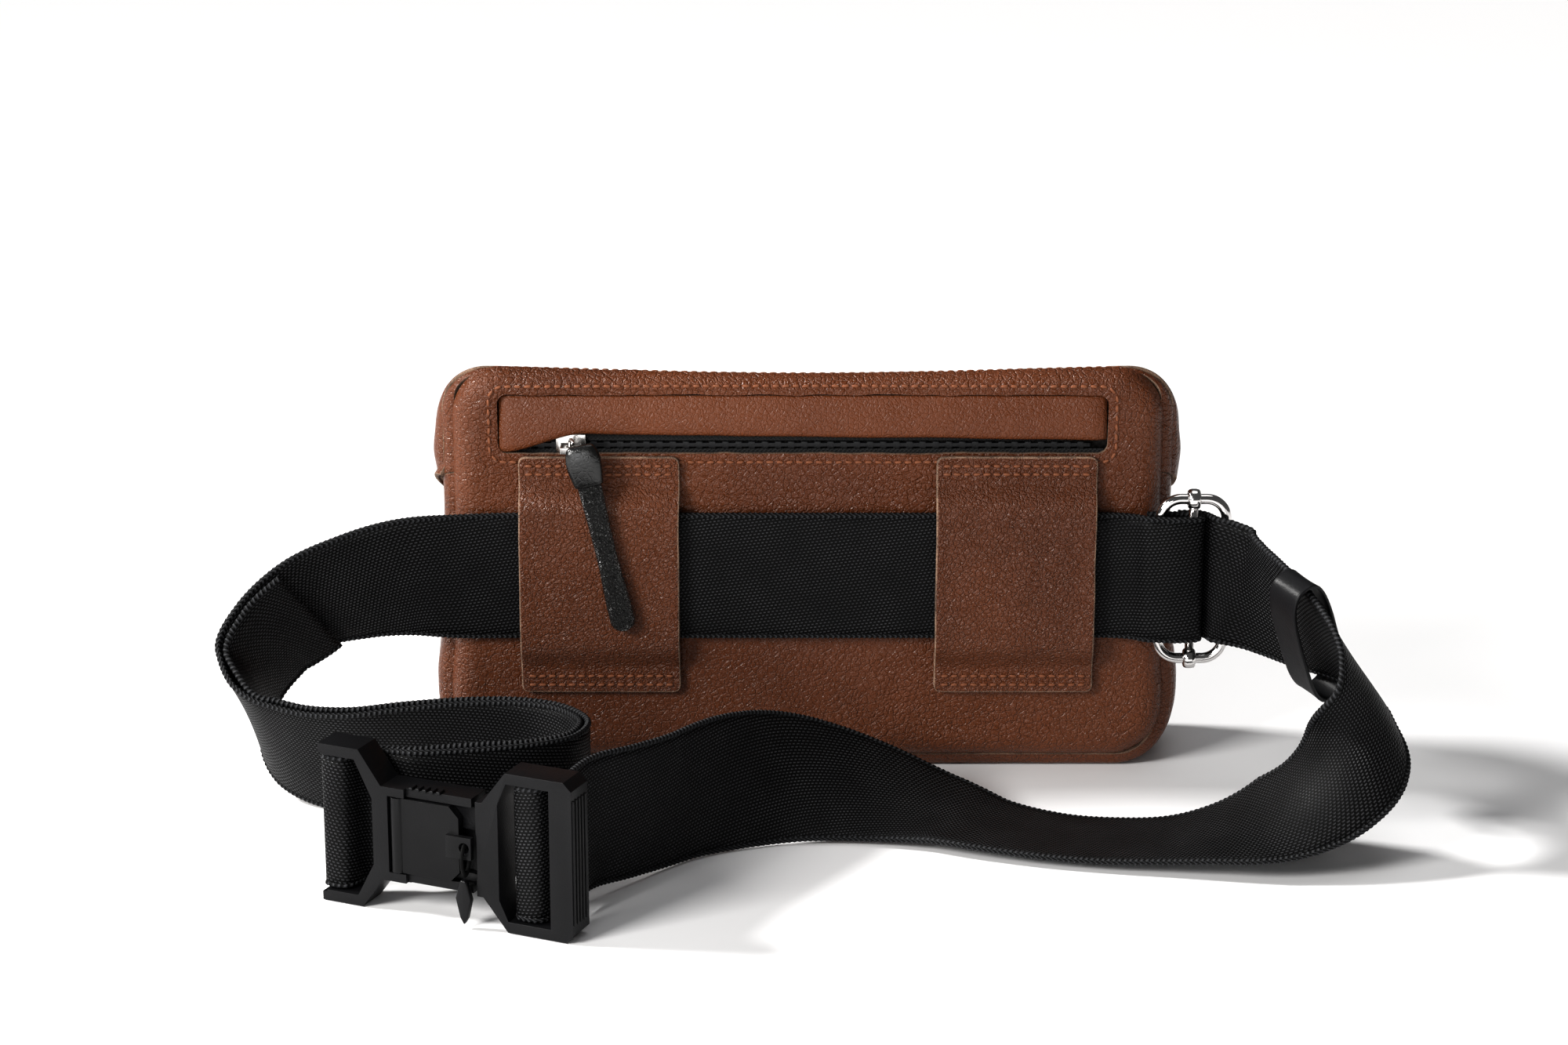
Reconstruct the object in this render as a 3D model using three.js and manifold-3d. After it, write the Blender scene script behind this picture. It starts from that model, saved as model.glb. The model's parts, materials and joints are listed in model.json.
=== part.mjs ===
// Leather waist pack on a webbing belt with a lever buckle.
// Millimetres. +X along the pack, -Y out of its body side, +Z up, origin in the middle of the base.
import * as THREE from 'three';
import { mergeVertices } from 'three/addons/utils/BufferGeometryUtils.js';
import Module from 'manifold-3d';

const wasm = await Module();
wasm.setup();

// ---- driving dimensions -------------------------------------------------------------------
const PACK_HALF = 108;          // half length of the panels
const PACK_TOP = 130;           // height of the body-side panel's top seam
const HALF_DEPTH = 23;          // half depth at the base
const LEATHER = 2;              // panel leather with its backing
const GAP = 0.3;                // clearance between touching pieces
const CORNER = 14;              // corner radius of the panels
const TOP_SLOPE = 0.6;          // fall of the top per mm towards the front
const WEBBING = 40;             // width of the belt webbing
const WEB_THICK = 1.6;          // thickness of the belt webbing
const BELT_Z = 65;              // height of the belt's middle on the pack
const BELT_Y = -25.3;           // middle plane of the belt on the pack
const WINDOW = { left: -94, right: 91, bottom: 103, top: 121.5 };
const LOOP = { middle: 63.5, width: 49, bottom: 27.6, top: 102.5, leather: 1.8 };
const ADJUSTER = { x: 117.3, y: -27, z: 64.5, width: 20, height: 51, wire: 3.2, corner: 6 };
const BUCKLE = { x: -100, y: -137, floor: 0.3, turn: 24, half: 40, height: 47.4, thick: 10 };

const COLOURS = {
  leather: [0x70452b, 0.55, 0],
  lining: [0x2b2b2d, 0.9, 0],
  webbing: [0x121214, 0.8, 0],
  plastic: [0x26262a, 0.5, 0],
  chrome: [0xd8d8dc, 0.12, 1],
  tape: [0x18181a, 0.85, 0],
  pull: [0x161617, 0.45, 0],
  board: [0x8a8378, 0.9, 0],
  magnet: [0xa8a8ac, 0.3, 1],
};

const model = new THREE.Group();

function add(name, geometry, colour, parent = model) {
  const [color, roughness, metalness] = COLOURS[colour];
  const mesh = new THREE.Mesh(geometry, new THREE.MeshStandardMaterial({ color, roughness, metalness }));
  mesh.name = name;
  parent.add(mesh);
  return mesh;
}

// ---- solids and booleans ------------------------------------------------------------------
function toSolid(geometry) {
  const bare = geometry.clone();
  bare.deleteAttribute('normal');
  bare.deleteAttribute('uv');
  const merged = mergeVertices(bare, 1e-4);
  return new wasm.Manifold(new wasm.Mesh({
    numProp: 3,
    vertProperties: new Float32Array(merged.attributes.position.array),
    triVerts: new Uint32Array(merged.index.array),
  }));
}

function fromSolid(solid) {
  const mesh = solid.getMesh();
  const geometry = new THREE.BufferGeometry();
  geometry.setAttribute('position', new THREE.BufferAttribute(mesh.vertProperties, 3));
  geometry.setIndex(new THREE.BufferAttribute(mesh.triVerts, 1));
  geometry.computeVertexNormals();
  return geometry;
}

const cut = (geometry, ...tools) => fromSolid(tools.reduce((s, t) => s.subtract(toSolid(t)), toSolid(geometry)));
const join = (geometry, ...more) => fromSolid(more.reduce((s, t) => s.add(toSolid(t)), toSolid(geometry)));
const common = (a, b) => fromSolid(toSolid(a).intersect(toSolid(b)));

function box(x0, x1, y0, y1, z0, z1) {
  const geometry = new THREE.BoxGeometry(x1 - x0, y1 - y0, z1 - z0);
  return geometry.translate((x0 + x1) / 2, (y0 + y1) / 2, (z0 + z1) / 2);
}

function roundedRect(x0, x1, z0, z1, radius, Kind = THREE.Shape) {
  const shape = new Kind();
  shape.moveTo(x0 + radius, z0);
  shape.lineTo(x1 - radius, z0);
  shape.absarc(x1 - radius, z0 + radius, radius, -Math.PI / 2, 0, false);
  shape.lineTo(x1, z1 - radius);
  shape.absarc(x1 - radius, z1 - radius, radius, 0, Math.PI / 2, false);
  shape.lineTo(x0 + radius, z1);
  shape.absarc(x0 + radius, z1 - radius, radius, Math.PI / 2, Math.PI, false);
  shape.lineTo(x0, z0 + radius);
  shape.absarc(x0 + radius, z0 + radius, radius, Math.PI, 1.5 * Math.PI, false);
  return shape;
}

function polygon(points) {
  const shape = new THREE.Shape();
  points.forEach(([a, b], i) => (i ? shape.lineTo(a, b) : shape.moveTo(a, b)));
  return shape;
}

const AXIS_X = new THREE.Vector3(1, 0, 0);
const AXIS_Y = new THREE.Vector3(0, 1, 0);
const AXIS_Z = new THREE.Vector3(0, 0, 1);
const CURVE_STEPS = 5;

// a shape drawn in (x, z), with its thickness from yNear (the lower y) to yFar
function plateXZ(shape, yNear, yFar) {
  const geometry = new THREE.ExtrudeGeometry(shape, {
    depth: yFar - yNear, bevelEnabled: false, curveSegments: CURVE_STEPS,
  });
  const basis = new THREE.Matrix4().makeBasis(AXIS_X, AXIS_Z, AXIS_Y.clone().negate());
  return geometry.applyMatrix4(basis).translate(0, yFar, 0);
}

// a shape drawn in (y, z), swept along X from x0 to x1
function sweepX(shape, x0, x1) {
  const geometry = new THREE.ExtrudeGeometry(shape, {
    depth: x1 - x0, bevelEnabled: false, curveSegments: 2 * CURVE_STEPS,
  });
  const basis = new THREE.Matrix4().makeBasis(AXIS_Y, AXIS_Z, AXIS_X);
  return geometry.applyMatrix4(basis).translate(x0, 0, 0);
}

function rod(radius, length, axis, x, y, z, sides = 16) {
  const geometry = new THREE.CylinderGeometry(radius, radius, length, sides);
  if (axis === 'x') geometry.rotateZ(Math.PI / 2);
  if (axis === 'z') geometry.rotateX(Math.PI / 2);
  return geometry.translate(x, y, z);
}

// ---- the pack's shell ---------------------------------------------------------------------
const BACK_FACE = -HALF_DEPTH;
const BACK_INNER = BACK_FACE + LEATHER;
const PANEL_BOTTOM = 4;
const FRONT_STRAIGHT = 66;      // height up to which the front panel is upright
const FRONT_TOP_Y = 9;          // where the front panel's top edge lies
const FRONT_TOP_Z = 110.5;
const FRONT_CURL_Z = 100;       // where the curve of the front panel is steered

// the front panel's section, moved in by inset: upright, then curling back to the top zip
function frontBand(inset, thickness) {
  const outer = HALF_DEPTH - inset;
  const inner = outer - thickness;
  const diagonal = 0.72;
  const band = new THREE.Shape();
  band.moveTo(outer, PANEL_BOTTOM);
  band.lineTo(outer, FRONT_STRAIGHT);
  band.quadraticCurveTo(outer, FRONT_CURL_Z - inset * diagonal,
    FRONT_TOP_Y - inset * diagonal, FRONT_TOP_Z - inset * diagonal);
  band.lineTo(FRONT_TOP_Y - (inset + thickness) * diagonal, FRONT_TOP_Z - (inset + thickness) * diagonal);
  band.quadraticCurveTo(inner, FRONT_CURL_Z - (inset + thickness) * diagonal, inner, FRONT_STRAIGHT);
  band.lineTo(inner, PANEL_BOTTOM);
  band.closePath();
  return band;
}

const backOutline = roundedRect(-PACK_HALF, PACK_HALF, PANEL_BOTTOM, PACK_TOP - 2, CORNER);
backOutline.holes.push(roundedRect(WINDOW.left, WINDOW.right, WINDOW.bottom, WINDOW.top, 3, THREE.Path));
add('back_panel', plateXZ(backOutline, BACK_FACE, BACK_INNER), 'leather');

function frontSheet(inset, thickness, margin, top) {
  const outline = roundedRect(-PACK_HALF + margin, PACK_HALF - margin, PANEL_BOTTOM - 1, top, CORNER);
  return common(sweepX(frontBand(inset, thickness), -PACK_HALF, PACK_HALF), plateXZ(outline, -40, 40));
}
add('front_panel', frontSheet(0, LEATHER, 0, PACK_TOP), 'leather');
add('lining_front', frontSheet(LEATHER + 0.5, 0.8, 2, 103), 'lining');
add('lining_back', plateXZ(roundedRect(-106, 106, 6, 119, CORNER), -12.8, -12), 'lining');

const GUSSET_OUT = PACK_HALF + 3;
const GUSSET_NEAR = BACK_INNER + GAP;
const GUSSET_FAR = HALF_DEPTH - LEATHER - GAP;
const SPLIT_Z = 97;             // where the side gusset meets the upper gusset
const ZIP_FRONT_EDGE = 7;

function ring(near, far) {
  const outline = roundedRect(-GUSSET_OUT, GUSSET_OUT, 0, PACK_TOP, CORNER + 1);
  outline.holes.push(roundedRect(-GUSSET_OUT + LEATHER, GUSSET_OUT - LEATHER, LEATHER,
    PACK_TOP - LEATHER, CORNER - 1, THREE.Path));
  return plateXZ(outline, near, far);
}

// z falls with y, so that the top slopes down towards the front
const slope = new THREE.Matrix4().set(1, 0, 0, 0, 0, 1, 0, 0, 0, -TOP_SLOPE, 1, TOP_SLOPE * GUSSET_NEAR, 0, 0, 0, 1);
const onTop = (geometry) => geometry.applyMatrix4(slope);
const upperHalf = (near, far, bottom) => box(-120, 120, near, far, bottom, 140);

const sideProfile = new THREE.Shape();
sideProfile.moveTo(GUSSET_NEAR, 0);
sideProfile.lineTo(GUSSET_FAR, 0);
sideProfile.lineTo(GUSSET_FAR, FRONT_STRAIGHT);
sideProfile.quadraticCurveTo(GUSSET_FAR, FRONT_CURL_Z - 2, FRONT_TOP_Y - 2, FRONT_TOP_Z - 3.5);
sideProfile.lineTo(GUSSET_NEAR, PACK_TOP);
sideProfile.closePath();
add('lower_gusset', cut(
  common(ring(GUSSET_NEAR, GUSSET_FAR), sweepX(sideProfile, -120, 120)),
  onTop(upperHalf(-40, ZIP_FRONT_EDGE + GAP, SPLIT_Z - GAP)),
  box(-105, 105, -40, 40, 60, 140),
), 'leather');

const ZIP_Y = (GUSSET_NEAR + ZIP_FRONT_EDGE) / 2;
const ZIP_GAP = 5;              // half the gap in which the main zip lies
const upperStrip = (near, far) => onTop(common(ring(near, far), upperHalf(near - 1, far + 1, SPLIT_Z)));
add('upper_gusset_rear', upperStrip(GUSSET_NEAR, ZIP_Y - ZIP_GAP), 'leather');
add('upper_gusset_front', upperStrip(ZIP_Y + ZIP_GAP, ZIP_FRONT_EDGE), 'leather');

// ---- main zip, along the top between the two upper gussets -------------------------------
const TAPE = 0.7;
const ZIP_HALF = 92;
const zipTop = PACK_TOP - 1.2;
const mainTape = (near, far) => onTop(box(-ZIP_HALF, ZIP_HALF, near, far, zipTop - TAPE, zipTop));
add('main_zip_tape_rear', mainTape(ZIP_Y - 4.6, ZIP_Y - 1.8), 'tape');
add('main_zip_tape_front', mainTape(ZIP_Y + 1.8, ZIP_Y + 4.6), 'tape');

// a row of teeth as one bar with notches on both edges, drawn along x with its width along b
function teethBar(x0, x1, b0, b1, pitch) {
  const count = Math.floor((x1 - x0) / pitch);
  const notch = (b1 - b0) / 5;
  const points = [];
  for (let i = 0; i < count; i++) {
    const x = x0 + i * pitch;
    points.push([x, b0], [x + pitch / 2, b0], [x + pitch / 2, b0 + notch], [x + pitch, b0 + notch]);
  }
  for (let i = count - 1; i >= 0; i--) {
    const x = x0 + i * pitch;
    points.push([x + pitch, b1 - notch], [x + pitch / 2, b1 - notch], [x + pitch / 2, b1], [x, b1]);
  }
  return polygon(points);
}

const TEETH_PITCH = 4;
const mainTeeth = new THREE.ExtrudeGeometry(
  teethBar(-ZIP_HALF, ZIP_HALF, ZIP_Y - 1.5, ZIP_Y + 1.5, TEETH_PITCH), { depth: 1.6, bevelEnabled: false });
add('main_zip_teeth', onTop(mainTeeth.translate(0, 0, zipTop - 1.4)), 'tape');

for (const side of [-1, 1]) {
  const name = side < 0 ? 'main_zip_stop_left' : 'main_zip_stop_right';
  const x = side * (ZIP_HALF + 2);
  add(name, onTop(box(x - 1.2, x + 1.2, ZIP_Y - 2, ZIP_Y + 2, zipTop - 1.2, zipTop + 0.4)), 'chrome');
  const tab = side < 0 ? 'zip_end_tab_left' : 'zip_end_tab_right';
  const near = side * (GUSSET_OUT + GAP);
  const far = side * (GUSSET_OUT + 3.2);
  add(tab, box(Math.min(near, far), Math.max(near, far), ZIP_Y - 9, ZIP_Y + 9, 99, 114), 'leather');
}

const MAIN_SLIDER_X = 78;
const sliderBase = zipTop + 0.6;
const mainSlider = join(
  box(MAIN_SLIDER_X - 5, MAIN_SLIDER_X + 5, ZIP_Y - 3.6, ZIP_Y + 3.6, sliderBase, sliderBase + 1.6),
  box(MAIN_SLIDER_X - 3, MAIN_SLIDER_X + 3, ZIP_Y - 1, ZIP_Y + 1, sliderBase + 1, sliderBase + 4.4));
add('main_zip_slider', onTop(cut(mainSlider,
  rod(1.1, 4, 'y', MAIN_SLIDER_X, ZIP_Y, sliderBase + 2.9, 12))), 'chrome');
const PULL_LENGTH = 46;
const mainPullOutline = roundedRect(MAIN_SLIDER_X - PULL_LENGTH - 4, MAIN_SLIDER_X - 5,
  ZIP_Y - 3.6, ZIP_Y + 3.6, 3);
const mainPull = new THREE.ExtrudeGeometry(mainPullOutline, { depth: 2, bevelEnabled: false, curveSegments: 4 });
add('main_zip_pull', onTop(mainPull.translate(0, 0, sliderBase + 2)), 'pull');

// ---- inside the pack ----------------------------------------------------------------------
add('base_board', plateXZ(roundedRect(-98, 98, 2.6, 4.1, 0.7), -18, 18), 'board');
const POCKET = { left: -99, right: 96, bottom: 14, top: 121, wall: 0.9, near: BACK_INNER + GAP, far: -13.2 };
add('pocket_bag', cut(
  box(POCKET.left, POCKET.right, POCKET.near, POCKET.far, POCKET.bottom, POCKET.top),
  box(POCKET.left + POCKET.wall, POCKET.right - POCKET.wall, POCKET.near - 1, POCKET.far - POCKET.wall,
    POCKET.bottom + POCKET.wall, POCKET.top - POCKET.wall),
), 'lining');

// ---- the zipped pocket on the body side ---------------------------------------------------
const SLIT_TOP = 106.6;
const CHAIN = { low: 103.9, high: 106.1, y: -19.2 };
add('pocket_flap', plateXZ(roundedRect(WINDOW.left + 0.4, WINDOW.right - 0.4, SLIT_TOP, WINDOW.top - 0.4, 3),
  BACK_FACE, BACK_FACE + 1.4), 'leather');
const tapeSpan = [WINDOW.left + 1, WINDOW.right - 1, CHAIN.y - TAPE / 2, CHAIN.y + TAPE / 2];
add('back_zip_tape_upper', box(...tapeSpan, CHAIN.high + GAP, 119.5), 'tape');
add('back_zip_tape_lower', box(...tapeSpan, 92, CHAIN.low - GAP), 'tape');
add('back_zip_teeth', plateXZ(
  teethBar(WINDOW.left + 4, WINDOW.right - 5, CHAIN.low, CHAIN.high, TEETH_PITCH),
  CHAIN.y - 0.6, CHAIN.y + 0.6), 'tape');

const SLIDER_X = -72;
const slider = join(
  box(SLIDER_X - 4.5, SLIDER_X + 4.5, CHAIN.y - 1.5, CHAIN.y - 0.95, CHAIN.low - 2.4, CHAIN.high + 2.4),
  box(SLIDER_X - 3, SLIDER_X + 3, -26.4, CHAIN.y - 1.2, 103.8, 105.8));
add('back_zip_slider', cut(slider, rod(1.2, 4, 'z', SLIDER_X, -24.6, 104.8, 12)), 'chrome');

// leather pull of the back zip: a wire link through the slider, and a strip hanging from it
const PULL = { x: -69, top: 108, length: 60, lean: 15, near: -33.4, far: -30.4, halfTop: 4.2, halfTip: 3.4 };
const wireSection = new THREE.Shape().absarc(0, 0, 0.55, 0, 2 * Math.PI, false);
add('back_pull_link', new THREE.ExtrudeGeometry(wireSection, {
  extrudePath: new THREE.CatmullRomCurve3([
    new THREE.Vector3(SLIDER_X, -24.6, 103.4), new THREE.Vector3(SLIDER_X, -24.6, 107.6),
    new THREE.Vector3(SLIDER_X + 0.6, -26.4, 108.4), new THREE.Vector3(SLIDER_X + 1.2, -28.4, 107.6)]),
  steps: 10, curveSegments: 4,
}), 'chrome');

const strip = new THREE.Shape();
strip.moveTo(-PULL.halfTop, 0);
strip.lineTo(-PULL.halfTip, -PULL.length + PULL.halfTip);
strip.absarc(0, -PULL.length + PULL.halfTip, PULL.halfTip, Math.PI, 2 * Math.PI, false);
strip.lineTo(PULL.halfTop, 0);
strip.closePath();
const pullGeometry = plateXZ(strip, PULL.near, PULL.far);
pullGeometry.rotateY(-THREE.MathUtils.degToRad(PULL.lean)).translate(PULL.x, 0, PULL.top);
add('back_pull', pullGeometry, 'pull');

// ---- belt loops ---------------------------------------------------------------------------
const TUNNEL_Y = BELT_Y - WEB_THICK / 2 - 1.3;
const SEAT_Y = BACK_FACE - GAP;
const TUNNEL_HALF = WEBBING / 2 + 1.5;
const loopSection = polygon([
  [SEAT_Y, LOOP.bottom], [SEAT_Y, BELT_Z - TUNNEL_HALF - 5.5], [TUNNEL_Y, BELT_Z - TUNNEL_HALF],
  [TUNNEL_Y, BELT_Z + TUNNEL_HALF], [SEAT_Y, BELT_Z + TUNNEL_HALF + 5.5], [SEAT_Y, LOOP.top],
  [SEAT_Y - LOOP.leather, LOOP.top], [SEAT_Y - LOOP.leather, BELT_Z + TUNNEL_HALF + 6.1],
  [TUNNEL_Y - LOOP.leather, BELT_Z + TUNNEL_HALF + 0.5], [TUNNEL_Y - LOOP.leather, BELT_Z - TUNNEL_HALF - 0.5],
  [SEAT_Y - LOOP.leather, BELT_Z - TUNNEL_HALF - 6.1], [SEAT_Y - LOOP.leather, LOOP.bottom]].reverse());
for (const side of [-1, 1]) {
  const middle = side * LOOP.middle;
  add(side < 0 ? 'belt_loop_left' : 'belt_loop_right',
    sweepX(loopSection, middle - LOOP.width / 2, middle + LOOP.width / 2), 'leather');
}

// ---- webbing ------------------------------------------------------------------------------
// A station is a point on the webbing's middle line and the direction of its width there.
const station = (x, y, z, wx = 0, wy = 0, wz = 1) => ({
  at: new THREE.Vector3(x, y, z), width: new THREE.Vector3(wx, wy, wz),
});

// a curve through the stations whose frames follow the stations' width directions
class WebbingCurve extends THREE.CatmullRomCurve3 {
  constructor(stations) {
    super(stations.map((s) => s.at));
    this.widths = new THREE.CatmullRomCurve3(stations.map((s) => s.width), false, 'catmullrom', 0.5);
  }

  getSpacedPoints(divisions) {
    return this.getPoints(divisions);
  }

  frameAt(t) {
    const tangent = this.getTangent(t).normalize();
    const width = this.widths.getPoint(t);
    width.addScaledVector(tangent, -width.dot(tangent)).normalize();
    return { tangent, width, face: new THREE.Vector3().crossVectors(width, tangent) };
  }

  computeFrenetFrames(segments) {
    const frames = { tangents: [], normals: [], binormals: [] };
    for (let i = 0; i <= segments; i++) {
      const { tangent, width, face } = this.frameAt(i / segments);
      frames.tangents.push(tangent);
      frames.normals.push(face);
      frames.binormals.push(width);
    }
    return frames;
  }
}

const webbingSection = polygon([
  [-WEB_THICK / 2, -WEBBING / 2], [WEB_THICK / 2, -WEBBING / 2],
  [WEB_THICK / 2, WEBBING / 2], [-WEB_THICK / 2, WEBBING / 2]]);

function webbing(curve, steps) {
  return new THREE.ExtrudeGeometry(webbingSection, { extrudePath: curve, steps });
}

// a place on the buckle: u along it, n out of its face, z above the floor
const buckleTurn = THREE.MathUtils.degToRad(BUCKLE.turn);
const buckleAlong = new THREE.Vector3(Math.cos(buckleTurn), -Math.sin(buckleTurn), 0);
const buckleOut = new THREE.Vector3(-Math.sin(buckleTurn), -Math.cos(buckleTurn), 0);
function atBuckle(u, n) {
  const p = new THREE.Vector3(BUCKLE.x, BUCKLE.y, 24).addScaledVector(buckleAlong, u);
  p.addScaledVector(buckleOut, n);
  return station(p.x, p.y, p.z);
}

// through the adjuster, along the pack's belt loops, round the left turn and back to the buckle
const mainRun = [
  station(117.1, -23.8, BELT_Z), station(115.8, -24, BELT_Z), station(113.4, -26, BELT_Z),
  station(110.6, -29.3, BELT_Z),
  station(107.3, -29.9, BELT_Z), station(103.6, -29.2, BELT_Z), station(100, -26.8, BELT_Z),
  station(95, BELT_Y, BELT_Z), station(60, BELT_Y, BELT_Z), station(20, BELT_Y, BELT_Z),
  station(-20, BELT_Y, BELT_Z), station(-60, BELT_Y, BELT_Z), station(-91, BELT_Y, BELT_Z),
  station(-106, -26.2, 65, -0.03, -0.04, 1), station(-122, -27, 65, -0.08, -0.17, 0.98),
  station(-138, -27.5, 62, -0.13, -0.34, 0.93), station(-153, -29, 57, -0.17, -0.47, 0.86),
  station(-165, -33, 48, -0.19, -0.53, 0.82), station(-171, -38, 38, -0.23, -0.53, 0.81),
  station(-170, -46, 29, -0.2, -0.5, 0.84), station(-163, -54, 22, -0.14, -0.45, 0.88),
  station(-151, -61, 19, -0.06, -0.43, 0.9), station(-136, -66, 19, -0.04, -0.38, 0.92),
  station(-119, -67, 20, -0.03, -0.27, 0.96), station(-102, -67, 20.4, -0.02, -0.16, 0.98),
  station(-86, -69, 20.6, -0.01, -0.08, 1), station(-74, -76, 20.8),
  station(-67, -88, 21.2), station(-70, -101, 21.8), station(-81, -110, 22.8),
  station(-94, -115, 24), station(-106, -117.6, 24),
];
const mainCurve = new WebbingCurve(mainRun);
add('belt_webbing', webbing(mainCurve, 2 * (mainRun.length - 1)), 'webbing');

// round the buckle's left bar, from the far side to the near side and back through the slot
const wrapStations = [[-19.2, -11.1], [-26, -8.9], [-32, -6], [-36.5, -3.6], [-39.4, -2.7],
  [-40.2, 0], [-39.4, 2.7], [-36.5, 3.4], [-33.6, 2.6], [-32.4, 0], [-31.9, -3], [-30.4, -5.9],
  [-27.4, -7], [-22, -8.2]].map(([u, n]) => atBuckle(u, n));
const joinAt = mainRun[mainRun.length - 1].at;
const wrapStart = mainRun[mainRun.length - 1].at.clone().sub(mainRun[mainRun.length - 2].at).normalize();
const wrapFirst = joinAt.clone().addScaledVector(wrapStart, GAP);
add('belt_wrap_left', webbing(new WebbingCurve(
  [station(wrapFirst.x, wrapFirst.y, wrapFirst.z), ...wrapStations]), 3 * wrapStations.length), 'webbing');

// the free end lies against the main run's inner face, from the buckle back round the left turn
const TAIL_OFFSET = 2.6;
const TAIL_FIRST = 29;          // last shared station before the wrap
const TAIL_LAST = 16;           // station where the free end stops
const tailStations = [];
for (let i = TAIL_FIRST; i >= TAIL_LAST; i--) {
  const t = i / (mainRun.length - 1);
  const { face } = mainCurve.frameAt(t);
  const spread = TAIL_OFFSET + (i < 20 ? 1 : 0);
  const p = mainCurve.getPoint(t).addScaledVector(face, spread);
  tailStations.push({ at: p, width: mainRun[i].width });
}
const tailFirst = [atBuckle(-21.5, -8.3), atBuckle(-16.6, -9.4)];
add('belt_tail_left', webbing(new WebbingCurve(
  [...tailFirst, ...tailStations]), 2 * (tailStations.length + 1)), 'webbing');

// from the adjuster through the keeper, over the floor and up to the buckle's right half
const JUNCTION = [30.6, -9];
const junction = atBuckle(...JUNCTION);
const rightRun = [
  station(117.5, -23.8, 65), station(118.8, -24, 65), station(121.2, -26, 65),
  station(124, -29.4, 65), station(127.8, -31, 64.4, -0.01, -0.01, 1),
  station(132.6, -33.6, 63.2, -0.08, -0.06, 1), station(137.5, -39.3, 62, -0.15, -0.13, 0.98),
  station(142.5, -47, 61, -0.22, -0.2, 0.96), station(148, -55.5, 59.8, -0.29, -0.3, 0.92),
  station(154, -64.5, 57.8, -0.38, -0.38, 0.86), station(159.5, -74, 54.6, -0.46, -0.42, 0.79),
  station(163.3, -82.5, 49.5, -0.52, -0.38, 0.76), station(164, -90, 42.5, -0.55, -0.16, 0.8),
  station(160.5, -95, 34.5, -0.5, 0.25, 0.8), station(153.5, -97, 26, -0.32, 0.62, 0.66),
  station(144, -96.5, 18.3, -0.16, 0.85, 0.42), station(132.5, -94.2, 12.2, -0.05, 0.95, 0.22),
  station(120, -91.5, 7.4, 0.03, 0.98, 0.04), station(106, -88.8, 3.9, 0.07, 1, -0.05),
  station(90, -86.2, 2.5, 0.08, 1, -0.06), station(72, -82.3, 2.4, 0.09, 1, -0.05),
  station(53, -76, 3.8, 0.1, 0.99, 0.02), station(38, -69.5, 6.2, 0.08, 0.97, 0.2),
  station(23, -67, 10, 0.06, 0.9, 0.42), station(8, -68, 14, 0.03, 0.78, 0.62),
  station(-6, -72, 17.3, 0.02, 0.62, 0.78), station(-19, -80, 19.4, 0.05, 0.44, 0.9),
  station(-31, -90, 20.4, 0.07, 0.25, 0.97), station(-41, -101, 20.8, 0.06, 0.12, 0.99),
  station(-51, -113, 22.2, 0.03, 0.05, 1), station(-61.5, -125.7, 24),
  station(junction.at.x, junction.at.y, 24),
];
add('strap_right', webbing(new WebbingCurve(rightRun), 2 * (rightRun.length - 1)), 'webbing');

const barWrap = [[30.6, -8.5], [30.5, -4.5], [29.8, -0.6], [28.2, 2.4], [25, 3.2], [21.9, 2.5], [21.1, 0],
  [21.4, -3], [23, -4.8], [25.6, -5.2]].map(([u, n]) => atBuckle(u, n));
add('strap_right_loop', webbing(new WebbingCurve(barWrap), 2 * (barWrap.length - 1)), 'webbing');

// ---- adjuster on the right end of the pack's webbing --------------------------------------
// the wire frame as rods and quarter bends joined into one body
function wireFrame() {
  const r = ADJUSTER.wire / 2;
  const halfW = ADJUSTER.width / 2;
  const halfH = ADJUSTER.height / 2;
  const straightW = ADJUSTER.width - 2 * ADJUSTER.corner;
  const straightH = ADJUSTER.height - 2 * ADJUSTER.corner;
  const pieces = [];
  for (const side of [-1, 1]) {
    pieces.push(rod(r, straightH + 0.2, 'z', ADJUSTER.x + side * halfW, ADJUSTER.y, ADJUSTER.z, 12));
    pieces.push(rod(r, straightW + 0.2, 'x', ADJUSTER.x, ADJUSTER.y, ADJUSTER.z + side * halfH, 12));
    for (const up of [-1, 1]) {
      const bend = new THREE.LatheGeometry(
        Array.from({ length: 13 }, (_, i) => new THREE.Vector2(
          ADJUSTER.corner + r * Math.cos((i / 12) * 2 * Math.PI), r * Math.sin((i / 12) * 2 * Math.PI))), 24);
      const cornerX = ADJUSTER.x + side * straightW / 2;
      const cornerZ = ADJUSTER.z + up * straightH / 2;
      bend.translate(cornerX, ADJUSTER.y, cornerZ);
      const quarter = box(Math.min(cornerX, cornerX + side * 20), Math.max(cornerX, cornerX + side * 20),
        ADJUSTER.y - 5, ADJUSTER.y + 5, Math.min(cornerZ, cornerZ + up * 20), Math.max(cornerZ, cornerZ + up * 20));
      pieces.push(common(bend, quarter));
    }
  }
  return join(...pieces);
}
add('adjuster_frame', wireFrame(), 'chrome');

// the middle bar, with a collar round the frame's wire at each end
function middleBar() {
  const reach = ADJUSTER.height / 2;
  const collar = (up) => rod(3.1, 3.4, 'x', ADJUSTER.x, ADJUSTER.y, ADJUSTER.z + up * reach, 16);
  const hole = (up) => rod(ADJUSTER.wire / 2 + GAP, 6, 'x', ADJUSTER.x, ADJUSTER.y, ADJUSTER.z + up * reach, 16);
  const bar = rod(1.4, ADJUSTER.height - 2, 'z', ADJUSTER.x, ADJUSTER.y, ADJUSTER.z, 12);
  return cut(join(bar, collar(-1), collar(1)), hole(-1), hole(1));
}
add('adjuster_bar', middleBar(), 'chrome');

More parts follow.
